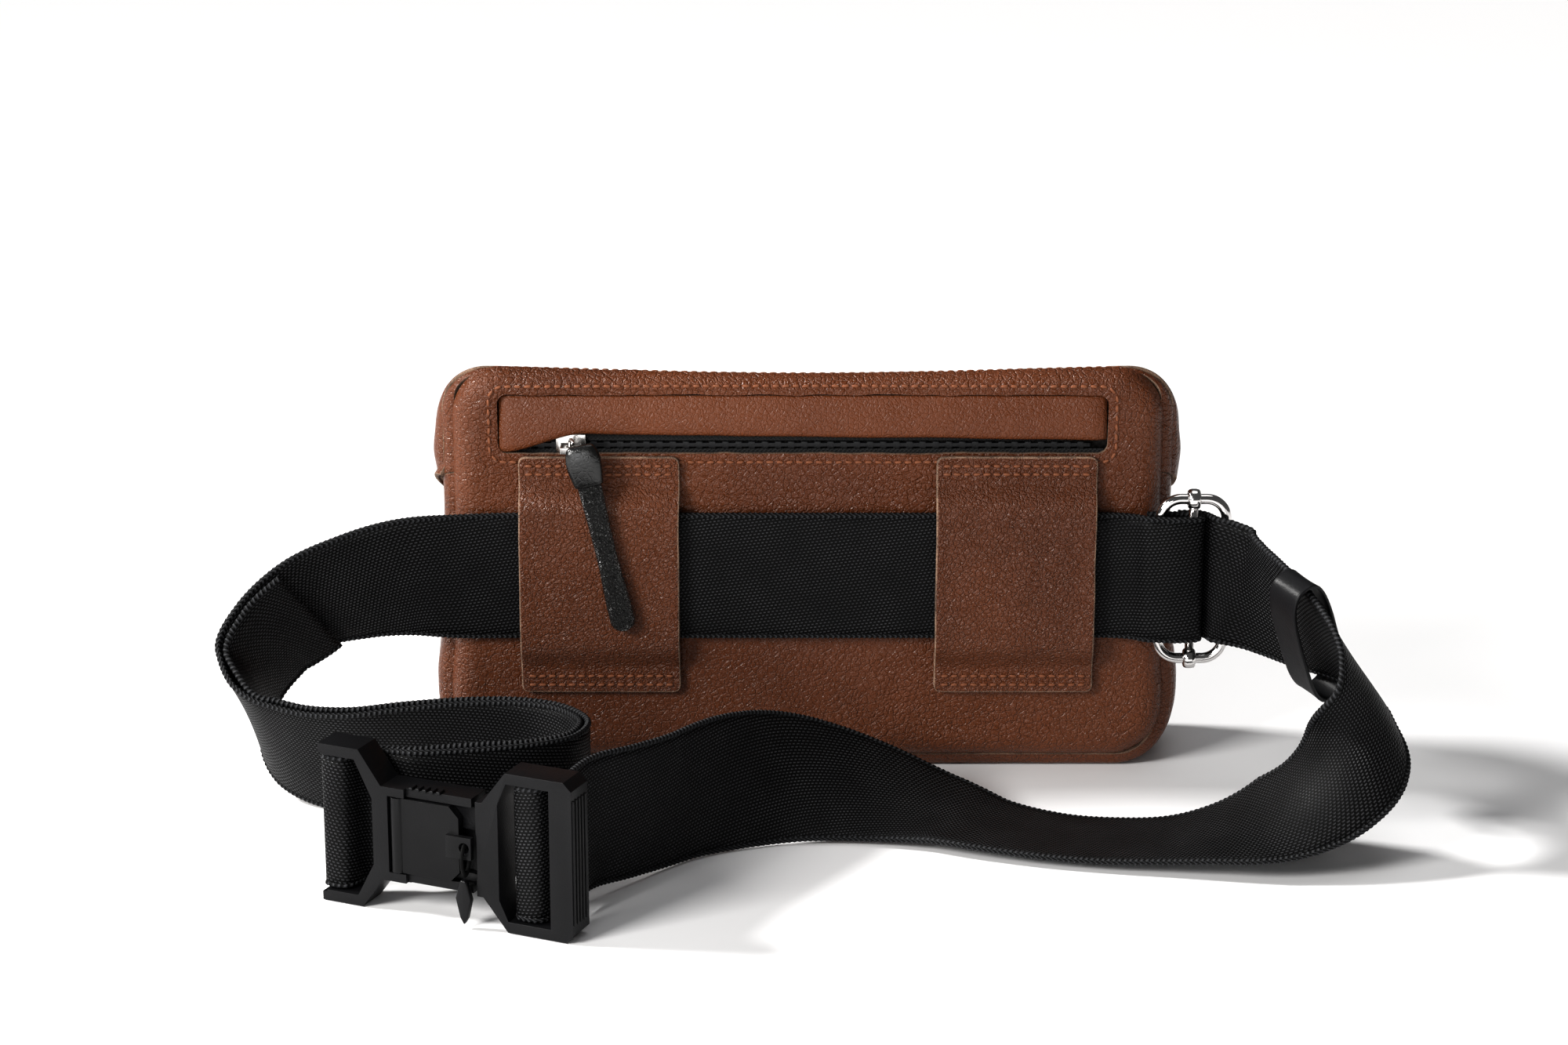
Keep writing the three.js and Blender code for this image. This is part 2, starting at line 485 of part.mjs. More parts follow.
// ---- keeper: a flat sleeve round the right-hand webbing ------------------------------------
const KEEPER = { station: 8.5, length: 11, depth: 14, height: 47.4, wall: 1.1, offset: 3 };
const rightCurve = new WebbingCurve(rightRun);
const keeperT = KEEPER.station / (rightRun.length - 1);
const keeperFrame = rightCurve.frameAt(keeperT);
const sleeve = roundedRect(-KEEPER.depth / 2, KEEPER.depth / 2, -KEEPER.height / 2, KEEPER.height / 2, 5.6);
sleeve.holes.push(roundedRect(-KEEPER.depth / 2 + KEEPER.wall, KEEPER.depth / 2 - KEEPER.wall,
  -KEEPER.height / 2 + KEEPER.wall, KEEPER.height / 2 - KEEPER.wall, 4.5, THREE.Path));
const keeperGeometry = new THREE.ExtrudeGeometry(sleeve, {
  depth: KEEPER.length, bevelEnabled: false, curveSegments: 4,
}).translate(-KEEPER.offset, 0, -KEEPER.length / 2);
keeperGeometry.applyMatrix4(new THREE.Matrix4().makeBasis(
  keeperFrame.face, keeperFrame.width, keeperFrame.tangent));
const keeperAt = rightCurve.getPoint(keeperT);
add('keeper', keeperGeometry.translate(keeperAt.x, keeperAt.y, keeperAt.z), 'webbing');

// ---- buckle, drawn lying in (u, z) with n out of its face --------------------------------
const buckle = new THREE.Group();
buckle.matrixAutoUpdate = false;
buckle.matrix.makeBasis(buckleAlong, buckleOut.clone().negate(), AXIS_Z).setPosition(BUCKLE.x, BUCKLE.y, 0);
buckle.matrixWorldNeedsUpdate = true;
model.add(buckle);

const HALF_THICK = BUCKLE.thick / 2;
const FLOOR = BUCKLE.floor;
const TOP = FLOOR + BUCKLE.height;
const BODY = { low: 9.6, high: 37.8, rail: 2.6 };
const CHANNEL = { low: BODY.low + BODY.rail, high: BODY.high - BODY.rail, floor: -1.2 };
const BAR_THIN = 1.6;
const SLOT = { low: FLOOR + 3.2, high: TOP - 3.2 };
const NOTCH = { low: FLOOR + 2.6, high: TOP - 2.6 };

// a shape drawn in (u, z) between the n values near the back and near the face
const slab = (shape, nBack, nFace) => plateXZ(shape, -nFace, -nBack);
const block = (u0, u1, n0, n1, z0, z1) => box(u0, u1, -n1, -n0, z0, z1);
const thinBar = (u0, u1) => [
  block(u0, u1, BAR_THIN, 9, SLOT.low, SLOT.high), block(u0, u1, -9, -BAR_THIN, SLOT.low, SLOT.high)];

const leftOutline = polygon([
  [-40, FLOOR], [-27, FLOOR], [-20, BODY.low], [8, BODY.low], [8, BODY.high], [-20, BODY.high],
  [-27, TOP], [-40, TOP], [-40, NOTCH.high], [-38.6, NOTCH.high], [-38.6, NOTCH.low], [-40, NOTCH.low]]);
const leftWindow = polygon([
  [-34.4, SLOT.low], [-28.4, SLOT.low], [-23, BODY.low + 4.2], [-23, BODY.high - 4.2],
  [-28.4, SLOT.high], [-34.4, SLOT.high]]);
const MAGNET_U = -5;
add('buckle_frame', cut(slab(leftOutline, -HALF_THICK, HALF_THICK),
  slab(leftWindow, -9, 9),
  ...thinBar(-39, -34),
  block(-18, 9, CHANNEL.floor, 9, CHANNEL.low, CHANNEL.high),
  block(-12.6, 9, 3.4, 9, BODY.low - 1, BODY.high + 1),
  rod(5.3, 20, 'y', MAGNET_U, 0, 23.7, 24),
  rod(1.2, BODY.high - BODY.low - 1.6, 'z', -15.5, -3.4, 23.7, 12),
), 'plastic', buckle);
add('magnet_left', rod(5, 3.2, 'y', MAGNET_U, 3.1, 23.7, 24), 'magnet', buckle);
add('latch_pin', rod(0.9, BODY.high - BODY.low - 2.2, 'z', -15.5, -3.4, 23.7, 12), 'chrome', buckle);

const LATCH = { back: 2.2, face: 4.6, end: 4.4, neck: 9 };
const NECK_FACE = 6.2;
const latchOutline = polygon([
  [-15.5, CHANNEL.low + GAP], [1.4, CHANNEL.low + GAP], [LATCH.end, CHANNEL.low + 3.4],
  [LATCH.end, CHANNEL.high - 3.4], [1.4, CHANNEL.high - GAP], [-15.5, CHANNEL.high - GAP]]);
const HOLE = { u: 6.8, z: 23.9, radius: 1.6 };
add('latch_plate', cut(
  join(slab(latchOutline, LATCH.back, LATCH.face), block(1, LATCH.neck, LATCH.face - 0.2, NECK_FACE, 20.5, 27),
    rod(2.1, CHANNEL.high - CHANNEL.low - 2 * GAP, 'z', -15.5, -3.4, 23.7, 20)),
  rod(1.2, 40, 'z', -15.5, -3.4, 23.7, 12),
  rod(HOLE.radius, 10, 'y', HOLE.u, -5, HOLE.z, 12),
), 'plastic', buckle);

const tongue = slab(polygon([[-12.4, CHANNEL.low + GAP], [12, CHANNEL.low + GAP],
  [12, CHANNEL.high - GAP], [-12.4, CHANNEL.high - GAP]]), -0.8, 1.8);
const rightOutline = polygon([
  [10, BODY.low], [12, BODY.low], [19.5, FLOOR], [37.6, FLOOR], [40, FLOOR + 2.4], [40, TOP - 2.4],
  [37.6, TOP], [19.5, TOP], [12, BODY.high], [10, BODY.high]]);
const rightSlots = [
  polygon([[23, SLOT.low], [23, SLOT.high], [19.8, SLOT.high], [17, 38], [17, 9.5], [19.8, SLOT.low]]),
  polygon([[27, SLOT.low], [33, SLOT.low], [33, SLOT.high], [27, SLOT.high]])];
const magnetHole = rod(4.9, 20, 'y', MAGNET_U, 0, 23.7, 24);
add('buckle_hook', cut(
  join(slab(rightOutline, -HALF_THICK, HALF_THICK), tongue),
  ...rightSlots.map((shape) => slab(shape, -9, 9)),
  ...thinBar(22.6, 27.4),
  block(3.4, 10.2, -1.5, 9, 14.8, 28),
  magnetHole,
), 'plastic', buckle);
add('magnet_right', rod(4.6, 2, 'y', MAGNET_U, -0.5, 23.7, 24), 'magnet', buckle);

// the cord through the latch plate's neck, and the tab that hangs from it
const CORD = { radius: 0.55, low: 15.9, top: 24.4, reach: 2.15 };
const cordLoop = new THREE.LatheGeometry(
  Array.from({ length: 9 }, (_, i) => new THREE.Vector2(
    CORD.reach + CORD.radius * Math.cos((i / 8) * 2 * Math.PI),
    CORD.radius * Math.sin((i / 8) * 2 * Math.PI))), 16);
cordLoop.rotateZ(Math.PI / 2).scale(1, 1, (CORD.top - CORD.low) / (2 * CORD.reach));
add('pull_cord', cordLoop.translate(HOLE.u, -(LATCH.face + NECK_FACE) / 2, (CORD.top + CORD.low) / 2),
  'pull', buckle);
const TAB = { top: 14.6, widest: 9, tip: 1.2, half: 2.5, back: 5.4, face: 7.4 };
add('pull_tab', slab(polygon([
  [HOLE.u - 0.9, TAB.top], [HOLE.u - TAB.half, TAB.widest], [HOLE.u - 1.2, 3.4], [HOLE.u, TAB.tip],
  [HOLE.u + 1.2, 3.4], [HOLE.u + TAB.half, TAB.widest], [HOLE.u + 0.9, TAB.top]]),
TAB.back, TAB.face), 'plastic', buckle);

export default model;
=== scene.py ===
"""Leather waist pack on a webbing belt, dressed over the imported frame."""
import json
import math
import random

import bmesh
import bpy
import numpy as np
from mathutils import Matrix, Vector, noise

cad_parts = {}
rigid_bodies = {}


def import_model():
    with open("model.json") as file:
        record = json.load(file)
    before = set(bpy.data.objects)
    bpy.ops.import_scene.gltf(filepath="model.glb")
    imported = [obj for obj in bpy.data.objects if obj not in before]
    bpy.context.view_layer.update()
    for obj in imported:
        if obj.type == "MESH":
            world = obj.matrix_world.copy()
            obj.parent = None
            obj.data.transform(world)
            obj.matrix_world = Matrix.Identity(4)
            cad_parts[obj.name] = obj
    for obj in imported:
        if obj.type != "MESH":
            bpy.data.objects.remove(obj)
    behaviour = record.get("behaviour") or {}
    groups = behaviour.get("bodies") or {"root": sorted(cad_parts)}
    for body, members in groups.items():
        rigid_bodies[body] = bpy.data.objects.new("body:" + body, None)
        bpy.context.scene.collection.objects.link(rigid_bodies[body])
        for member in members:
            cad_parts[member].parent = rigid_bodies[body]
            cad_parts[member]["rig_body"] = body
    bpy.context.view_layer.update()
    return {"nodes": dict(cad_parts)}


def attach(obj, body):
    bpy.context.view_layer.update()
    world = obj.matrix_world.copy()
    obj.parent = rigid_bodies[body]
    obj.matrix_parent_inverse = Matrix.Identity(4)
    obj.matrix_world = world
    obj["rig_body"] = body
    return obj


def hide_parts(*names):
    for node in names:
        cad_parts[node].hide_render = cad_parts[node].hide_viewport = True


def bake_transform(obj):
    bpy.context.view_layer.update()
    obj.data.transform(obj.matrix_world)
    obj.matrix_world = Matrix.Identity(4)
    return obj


MM = 0.001
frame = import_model()
NODES = frame["nodes"]
random.seed(7)


# ---- camera ----
LENS, SENSOR = 85.0, 36.0
TILT = math.radians(17.0)
TARGET = Vector((-7.2, -22.0, 81.0)) * MM
DISTANCE = LENS / SENSOR * 2000 / 4.175 * MM


def make_camera():
    data = bpy.data.cameras.new("camera")
    data.lens, data.sensor_width = LENS, SENSOR
    data.clip_start, data.clip_end = 0.01, 50
    camera = bpy.data.objects.new("camera", data)
    bpy.context.scene.collection.objects.link(camera)
    ahead = Vector((0, math.cos(TILT), -math.sin(TILT)))
    camera.location = TARGET - ahead * DISTANCE
    camera.rotation_euler = ahead.to_track_quat("-Z", "Y").to_euler()
    bpy.context.scene.camera = camera


make_camera()


# ---- materials ----
class Shader:
    """A Principled material and short ways to add nodes in front of it."""

    def __init__(self, name, colour, rough, metal=0.0, **sockets):
        self.material = bpy.data.materials.new(name)
        self.material.use_nodes = True
        self.material.diffuse_color = (*colour, 1)
        self.tree = self.material.node_tree
        self.surface = self.tree.nodes["Principled BSDF"]
        self.surface.inputs["Base Color"].default_value = (*colour, 1)
        self.surface.inputs["Roughness"].default_value = rough
        self.surface.inputs["Metallic"].default_value = metal
        for socket, value in sockets.items():
            self.surface.inputs[socket.replace("_", " ")].default_value = value

    def node(self, kind, inputs=None, **settings):
        n = self.tree.nodes.new("ShaderNode" + kind)
        for key, value in settings.items():
            setattr(n, key, value)
        for key, value in (inputs or {}).items():
            self.feed(n.inputs[key], value)
        return n

    def feed(self, socket, value):
        if isinstance(value, bpy.types.NodeSocket):
            self.tree.links.new(value, socket)
        else:
            socket.default_value = value

    def math(self, operation, a, b=0.0):
        return self.node("Math", {0: a, 1: b}, operation=operation).outputs[0]

    def plus(self, a, b):
        return self.math("ADD", a, b)

    def minus(self, a, b):
        return self.math("SUBTRACT", a, b)

    def times(self, a, b):
        return self.math("MULTIPLY", a, b)

    def ramp(self, value, low, high, to_low=0.0, to_high=1.0):
        n = self.node("MapRange", {"Value": value, "From Min": low, "From Max": high,
                                   "To Min": to_low, "To Max": to_high},
                      interpolation_type="SMOOTHSTEP")
        return n.outputs["Result"]

    def mix(self, factor, a, b):
        """A colour between a and b; the Mix node's colour sockets are 6, 7 and output 2."""
        a, b = ((*c, 1) if isinstance(c, tuple) else c for c in (a, b))
        return self.node("Mix", {0: factor, 6: a, 7: b}, data_type="RGBA").outputs[2]

    def position(self, kind="Object"):
        return self.node("TexCoord").outputs[kind]

    def noise(self, vector, scale, detail=3.0, rough=0.5, output="Fac"):
        n = self.node("TexNoise", {"Vector": vector, "Scale": scale, "Detail": detail,
                                   "Roughness": rough})
        return n.outputs[output]

    def vector(self, operation, a, b, socket=1):
        return self.node("VectorMath", {0: a, socket: b}, operation=operation).outputs[0]

    def warped(self, vector, scale, amount):
        """A position pushed about by up to half the amount."""
        push = self.vector("SUBTRACT", self.noise(vector, scale, 2.0, output="Color"), (0.5, 0.5, 0.5))
        return self.vector("ADD", vector, self.vector("SCALE", push, amount, "Scale"))

    def cells(self, vector, scale):
        n = self.node("TexVoronoi", {"Vector": vector, "Scale": scale}, feature="DISTANCE_TO_EDGE")
        return n.outputs["Distance"]

    def bump(self, height, distance):
        n = self.node("Bump", {"Height": height, "Distance": distance, "Strength": 1.0})
        self.tree.links.new(n.outputs[0], self.surface.inputs["Normal"])

    def colour(self, socket):
        self.feed(self.surface.inputs["Base Color"], socket)

    def roughness(self, socket):
        self.feed(self.surface.inputs["Roughness"], socket)


def leather(name, dark, light, rough, pebble, crease, cell=560.0, depth=0.00022, gloss=0.36):
    """Grained leather: small pebbles, a net of longer creases in patches, and slow colour changes."""
    s = Shader(name, light, rough, Specular_IOR_Level=gloss)
    at = s.position()
    grain = s.ramp(s.cells(s.warped(at, 260.0, 0.0016), cell), 0.0, 0.20)
    fine = s.ramp(s.cells(s.warped(at, 1100.0, 0.0004), 1500.0), 0.0, 0.25)
    stretched = s.vector("MULTIPLY", s.warped(at, 70.0, 0.006), (0.55, 1.0, 1.25))
    patch = s.ramp(s.noise(at, 24.0, 2.0), 0.45, 0.62)
    lines = s.minus(1.0, s.ramp(s.cells(stretched, 330.0), 0.0, 0.09))
    creased = s.times(lines, patch)
    soft = s.noise(at, 110.0, 5.0, 0.6)
    pebbles = s.plus(s.times(grain, 0.7), s.times(fine, 0.3))
    height = s.minus(s.times(pebbles, pebble), s.times(creased, crease))
    height = s.plus(height, s.times(soft, 0.6))
    slow = s.ramp(s.noise(at, 16.0, 3.0), 0.3, 0.7)
    tone = s.plus(s.times(slow, 0.55), s.times(soft, 0.45))
    base = s.mix(tone, dark, light)
    # Painted shade: the colour darkens toward a deeper brown in the hollows between pebbles and along the
    # creases.
    low = s.times(s.minus(1.0, pebbles), 0.14 * pebble)
    shade = s.plus(low, s.times(creased, 0.22 * crease))
    s.colour(s.mix(s.math("MINIMUM", shade, 0.6), base, tuple(0.45 * c for c in dark)))
    s.roughness(s.plus(s.ramp(soft, 0.25, 0.75, rough - 0.05, rough + 0.08), s.times(low, 0.5)))
    s.bump(height, depth)
    return s.material


def raw_edge(name, dark, light):
    """The cut edge of leather: paler fibres in fine layers."""
    s = Shader(name, light, 0.85)
    at = s.position()
    fibres = s.noise(at, 2600.0, 3.0)
    patches = s.noise(at, 160.0, 3.0)
    tone = s.plus(s.times(fibres, 0.6), s.times(patches, 0.4))
    s.colour(s.mix(s.ramp(tone, 0.35, 0.65), dark, light))
    s.bump(fibres, 0.0003)
    return s.material


def twill(name, dark, light, rough=0.55):
    """Twill webbing: rows of short raised floats, each row a step further along than the last."""
    row_pitch, float_pitch, slope, shift = 0.00098, 0.00125, 0.14, 0.37
    s = Shader(name, light, rough, Specular_IOR_Level=0.13)
    uv = s.node("SeparateXYZ", {0: s.position("UV")})
    along, across = uv.outputs[0], uv.outputs[1]
    lifted = s.plus(across, s.times(along, slope))
    row = s.math("DIVIDE", lifted, row_pitch)
    index = s.math("FLOOR", row)
    within = s.minus(row, index)
    moved = s.plus(s.math("DIVIDE", along, float_pitch), s.times(index, shift))
    step = s.math("FRACT", moved)

    def hump(place, flat, end):
        """1 round the middle of a float, falling to 0 between the two distances from it."""
        away = s.math("ABSOLUTE", s.minus(place, 0.5))
        return s.minus(1.0, s.ramp(away, flat, end))

    raised = s.times(hump(step, 0.20, 0.40), hump(within, 0.08, 0.34))
    # Painted highlight and shade: the raised floats take the light colour and the gaps between them the
    # dark one; a noise makes the painted highlight uneven.
    uneven_glint = s.noise(s.position(), 90.0, 3.0)
    tone = s.times(raised, s.ramp(uneven_glint, 0.2, 0.8, 0.55, 1.0))
    s.colour(s.mix(tone, dark, light))
    s.roughness(s.ramp(raised, 0.0, 1.0, rough + 0.2, rough - 0.08))
    s.bump(raised, 0.0006)
    return s.material


BRAID_PITCH = 0.0016


def braid(name, dark, light):
    """The belt's braided edge: slanting yarns round a thin roll."""
    s = Shader(name, light, 0.6, Specular_IOR_Level=0.15)
    uv = s.node("SeparateXYZ", {0: s.position("UV")})
    turn = s.plus(s.math("DIVIDE", uv.outputs[0], BRAID_PITCH), uv.outputs[1])
    wave = s.math("ABSOLUTE", s.minus(s.math("FRACT", turn), 0.5))
    raised = s.ramp(wave, 0.08, 0.42)
    # Painted highlight and shade: the raised yarns take the light colour and the hollows between them the
    # dark one.
    s.colour(s.mix(raised, dark, light))
    s.bump(raised, 0.0005)
    return s.material


def moulded(name, colour, rough, speck=2400.0, depth=0.00006):
    """Moulded plastic with a fine spark-eroded texture."""
    s = Shader(name, colour, rough, Specular_IOR_Level=0.2)
    at = s.position()
    grain = s.noise(at, speck, 2.0)
    slow = s.noise(at, 60.0, 2.0)
    s.colour(s.mix(slow, tuple(0.8 * c for c in colour), tuple(1.25 * c for c in colour)))
    s.roughness(s.ramp(slow, 0.3, 0.7, rough - 0.05, rough + 0.07))
    s.bump(grain, depth)
    return s.material


def plated(name, colour, rough):
    """Plated metal with faint handling marks."""
    s = Shader(name, colour, rough, 1.0)
    at = s.position()
    marks = s.noise(at, 900.0, 4.0)
    s.roughness(s.ramp(s.noise(at, 120.0, 3.0), 0.3, 0.7, rough, rough + 0.1))
    s.colour(s.mix(marks, tuple(0.85 * c for c in colour), colour))
    s.bump(marks, 0.00002)
    return s.material


def woven(name, dark, light, pitch=1500.0):
    """Plain woven cloth for the lining and the zip tapes."""
    s = Shader(name, light, 0.85, Sheen_Weight=0.1)
    xyz = s.node("SeparateXYZ", {0: s.position()})
    wave = [s.math("SINE", s.times(xyz.outputs[i], pitch * math.pi)) for i in (0, 2)]
    weave = s.ramp(s.times(wave[0], wave[1]), -1.0, 1.0)
    # Painted highlight and shade: where the threads rise the cloth takes the light colour, and where they
    # dip the dark one.
    s.colour(s.mix(weave, dark, light))
    s.bump(weave, 0.0002)
    return s.material


BROWN_DARK, BROWN_LIGHT = (0.080, 0.0212, 0.0058), (0.145, 0.0420, 0.0128)
# leather(name, dark, light, roughness, pebble, crease, cell, depth, gloss)
M = {
    "panel": leather("panel_leather", BROWN_DARK, BROWN_LIGHT, 0.28, 0.7, 0.4, 520.0, 0.00038, 0.34),
    "loop": leather("loop_leather", BROWN_DARK, BROWN_LIGHT, 0.28, 0.8, 0.3, 640.0, 0.00045, 0.44),
    "smooth": leather("flap_leather", (0.095, 0.0262, 0.0079), (0.165, 0.0490, 0.0160), 0.31, 0.35, 0.0,
                      700.0, 0.0004, 0.32),
    "edge": raw_edge("leather_edge", (0.07, 0.042, 0.028), (0.34, 0.22, 0.15)),
    "thread": moulded("brown_thread", (0.20, 0.075, 0.036), 0.5, 3500.0, 0.0001),
    "black_thread": moulded("black_thread", (0.012, 0.012, 0.013), 0.6, 3500.0, 0.0001),
    "webbing": twill("belt_twill", (0.0004, 0.0004, 0.0005), (0.066, 0.067, 0.071), 0.40),
    "braid": braid("belt_edge_braid", (0.001, 0.001, 0.0012), (0.036, 0.037, 0.040)),
    "plastic": moulded("black_plastic", (0.0048, 0.0048, 0.0055), 0.36),
    "latch": moulded("latch_plastic", (0.0035, 0.0035, 0.004), 0.33),
    "sleeve": moulded("keeper_sleeve", (0.008, 0.008, 0.009), 0.42, 1500.0),
    "chrome": plated("chrome", (0.80, 0.78, 0.77), 0.07),
    "nickel": plated("zip_nickel", (0.66, 0.64, 0.62), 0.22),
    "magnet": plated("magnet_plate", (0.45, 0.45, 0.46), 0.35),
    "tape": woven("zip_tape", (0.002, 0.002, 0.002), (0.012, 0.012, 0.013)),
    "teeth": moulded("zip_teeth", (0.010, 0.010, 0.011), 0.35),
    "lining": woven("lining_cloth", (0.02, 0.017, 0.015), (0.055, 0.047, 0.042), 900.0),
    "board": moulded("base_board", (0.16, 0.14, 0.12), 0.8, 700.0, 0.0002),
    "black_smooth": leather("pull_band_leather", (0.003, 0.003, 0.003), (0.008, 0.0078, 0.0075), 0.2,
                            0.15, 0.0, gloss=0.6),
    "black_grain": leather("pull_leather", (0.004, 0.004, 0.004), (0.012, 0.0115, 0.011), 0.20, 1.6, 0.0,
                           900.0, 0.0009, 0.8),
    "cord": twill("cord_weave", (0.002, 0.002, 0.002), (0.02, 0.02, 0.02)),
}


# ---- mesh helpers ----
def link(name, mesh, *materials):
    obj = bpy.data.objects.new(name, mesh)
    bpy.context.scene.collection.objects.link(obj)
    for m in materials:
        obj.data.materials.append(m)
    return obj


def smooth(mesh):
    mesh.polygons.foreach_set("use_smooth", [True] * len(mesh.polygons))
    return mesh


def mesh_from(name, verts, faces, uvs=None):
    """A smooth mesh; uvs gives one (u, v) for each vertex."""
    mesh = bpy.data.meshes.new(name)
    mesh.from_pydata([tuple(v) for v in verts], [], faces)
    mesh.validate()
    if uvs is not None:
        layer = mesh.uv_layers.new(name="UVMap")
        index = np.empty(len(mesh.loops), np.int64)
        mesh.loops.foreach_get("vertex_index", index)
        layer.data.foreach_set("uv", np.asarray(uvs, float)[index].ravel())
    return smooth(mesh)


def settle(obj):
    """Applies every modifier of the object."""
    graph = bpy.context.evaluated_depsgraph_get()
    mesh = bpy.data.meshes.new_from_object(obj.evaluated_get(graph))
    obj.modifiers.clear()
    obj.data = mesh
    return obj


def outward(obj):
    """Turns every face outward and shades the mesh smooth."""
    bm = bmesh.new()
    bm.from_mesh(obj.data)
    bmesh.ops.recalc_face_normals(bm, faces=bm.faces)
    bm.to_mesh(obj.data)
    bm.free()
    smooth(obj.data)


def add_bevel(obj, width, segments=2, angle=30):
    """A bevel on every edge sharper than the angle in degrees."""
    bevel = obj.modifiers.new("bevel", "BEVEL")
    bevel.width, bevel.segments = width, segments
    bevel.limit_method = "ANGLE"
    bevel.angle_limit = math.radians(angle)
    return bevel


def thicken(obj, thickness, inward=True, bevel=0.0):
    """Gives a sheet its thickness, with its rim in the second material."""
    rim = 1
    solid = obj.modifiers.new("solid", "SOLIDIFY")
    solid.thickness = thickness
    solid.offset = -1 if inward else 1
    solid.material_offset_rim = rim
    solid.use_even_offset = False
    if bevel:
        add_bevel(obj, bevel, angle=50).material = rim
    return settle(obj)


def grid_faces(rows, columns, closed_rows=False, closed_columns=False):
    faces = []
    for i in range(rows if closed_rows else rows - 1):
        for j in range(columns if closed_columns else columns - 1):
            a, b = i * columns + j, i * columns + (j + 1) % columns
            c, d = ((i + 1) % rows) * columns + (j + 1) % columns, ((i + 1) % rows) * columns + j
            faces.append((a, b, c, d))
    return faces


def capped_faces(rows, around):
    """The faces of a bar of rings, with a flat cap at each end."""
    last = (rows - 1) * around
    caps = [tuple(range(around - 1, -1, -1)), tuple(last + k for k in range(around))]
    return grid_faces(rows, around, False, True) + caps


def tube(name, path, radius, sides=12, closed=False, material=None):
    """A round wire along a path of points; radius may be a number or one value per point."""
    path = [Vector(p) for p in path]
    n = len(path)
    radii = [radius] * n if isinstance(radius, (int, float)) else list(radius)
    verts, uvs = [], []
    normal = None
    run = 0.0
    for i, p in enumerate(path):
        ahead = path[(i + 1) % n] if closed or i + 1 < n else p
        behind = path[i - 1] if closed or i else p
        tangent = (ahead - behind).normalized()
        if normal is None:
            normal = tangent.orthogonal().normalized()
        normal = (normal - tangent * normal.dot(tangent)).normalized()
        side = tangent.cross(normal)
        run += (p - behind).length if i else 0.0
        for k in range(sides):
            a = 2 * math.pi * k / sides
            verts.append(p + (normal * math.cos(a) + side * math.sin(a)) * radii[i])
            uvs.append((run, k / sides))
    faces = grid_faces(n, sides, True, True) if closed else capped_faces(n, sides)
    return link(name, mesh_from(name, verts, faces, uvs), material)


def joined(name, parts):
    """One object from several, keeping each one's materials and UVs."""
    bm = bmesh.new()
    materials = []
    for obj in parts:
        for m in obj.data.materials:
            if m not in materials:
                materials.append(m)
    for obj in parts:
        before = len(bm.faces)
        bm.from_mesh(obj.data)
        bm.faces.ensure_lookup_table()
        for face in bm.faces[before:]:
            face.material_index = materials.index(obj.data.materials[face.material_index])
        bpy.data.objects.remove(obj)
    mesh = bpy.data.meshes.new(name)
    bm.to_mesh(mesh)
    bm.free()
    return link(name, mesh, *materials)


def resampled(points, pitch):
    """Points at even spacing along a line, and the direction at each."""
    points = [Vector(p) for p in points]
    lengths = [0.0]
    for a, b in zip(points, points[1:]):
        lengths.append(lengths[-1] + (b - a).length)
    count = max(2, int(round(lengths[-1] / pitch)))
    out = []
    k = 0
    for i in range(count):
        target = lengths[-1] * (i + 0.5) / count
        while k < len(lengths) - 2 and lengths[k + 1] < target:
            k += 1
        span = lengths[k + 1] - lengths[k] or 1e-9
        f = (target - lengths[k]) / span
        out.append((points[k].lerp(points[k + 1], f), (points[k + 1] - points[k]).normalized()))
    return out


def stitches(name, lines, out, material="thread"):
    """Rows of sewn stitches: one short rounded bead for each, half sunk in the leather."""
    pitch, width = 0.0030, 0.0005
    verts, faces = [], []
    sides, rings = 8, 5
    for line in lines:
        for p, along in resampled(line, pitch):
            up = Vector(out)
            along = (along - up * along.dot(up)).normalized()
            side = along.cross(up)
            tilt = random.uniform(-0.10, 0.10)
            along = (along + side * tilt).normalized()
            half = 0.37 * pitch * random.uniform(0.92, 1.05)
            base = len(verts)
            for r in range(rings):
                a = math.pi * (r + 0.5) / rings
                for k in range(sides):
                    b = 2 * math.pi * k / sides
                    q = p - along * half * math.cos(a)
                    thick = width * math.sin(a) ** 0.6
                    verts.append(q + side * thick * math.cos(b) + up * thick * (0.8 * math.sin(b) + 0.1))
            faces += [tuple(base + i for i in f) for f in capped_faces(rings, sides)]
    return link(name, mesh_from(name, verts, faces), M[material])


def rounded(x, z, box, radius):
    """Signed distance from a rounded rectangle (x0, x1, z0, z1), below zero inside."""
    cx, cz = (box[0] + box[1]) / 2, (box[2] + box[3]) / 2
    qx = abs(x - cx) - (box[1] - box[0]) / 2 + radius
    qz = abs(z - cz) - (box[3] - box[2]) / 2 + radius
    return math.hypot(max(qx, 0), max(qz, 0)) + min(max(qx, qz), 0) - radius


def rounded_path(box, radius, step=1.2):
    """Points round a rounded rectangle, anticlockwise from the bottom left."""
    x0, x1, z0, z1 = box
    corners = [(x1 - radius, z0 + radius, -90), (x1 - radius, z1 - radius, 0),
               (x0 + radius, z1 - radius, 90), (x0 + radius, z0 + radius, 180)]
    points = []
    for cx, cz, start in corners:
        count = max(4, int(radius * math.pi / 2 / step))
        for i in range(count + 1):
            a = math.radians(start + 90 * i / count)
            points.append((cx + radius * math.cos(a), cz + radius * math.sin(a)))
    out = []
    for (ax, az), (bx, bz) in zip(points, points[1:] + points[:1]):
        count = max(1, int(math.hypot(bx - ax, bz - az) / step))
        out += [(ax + (bx - ax) * i / count, az + (bz - az) * i / count) for i in range(count)]
    return out


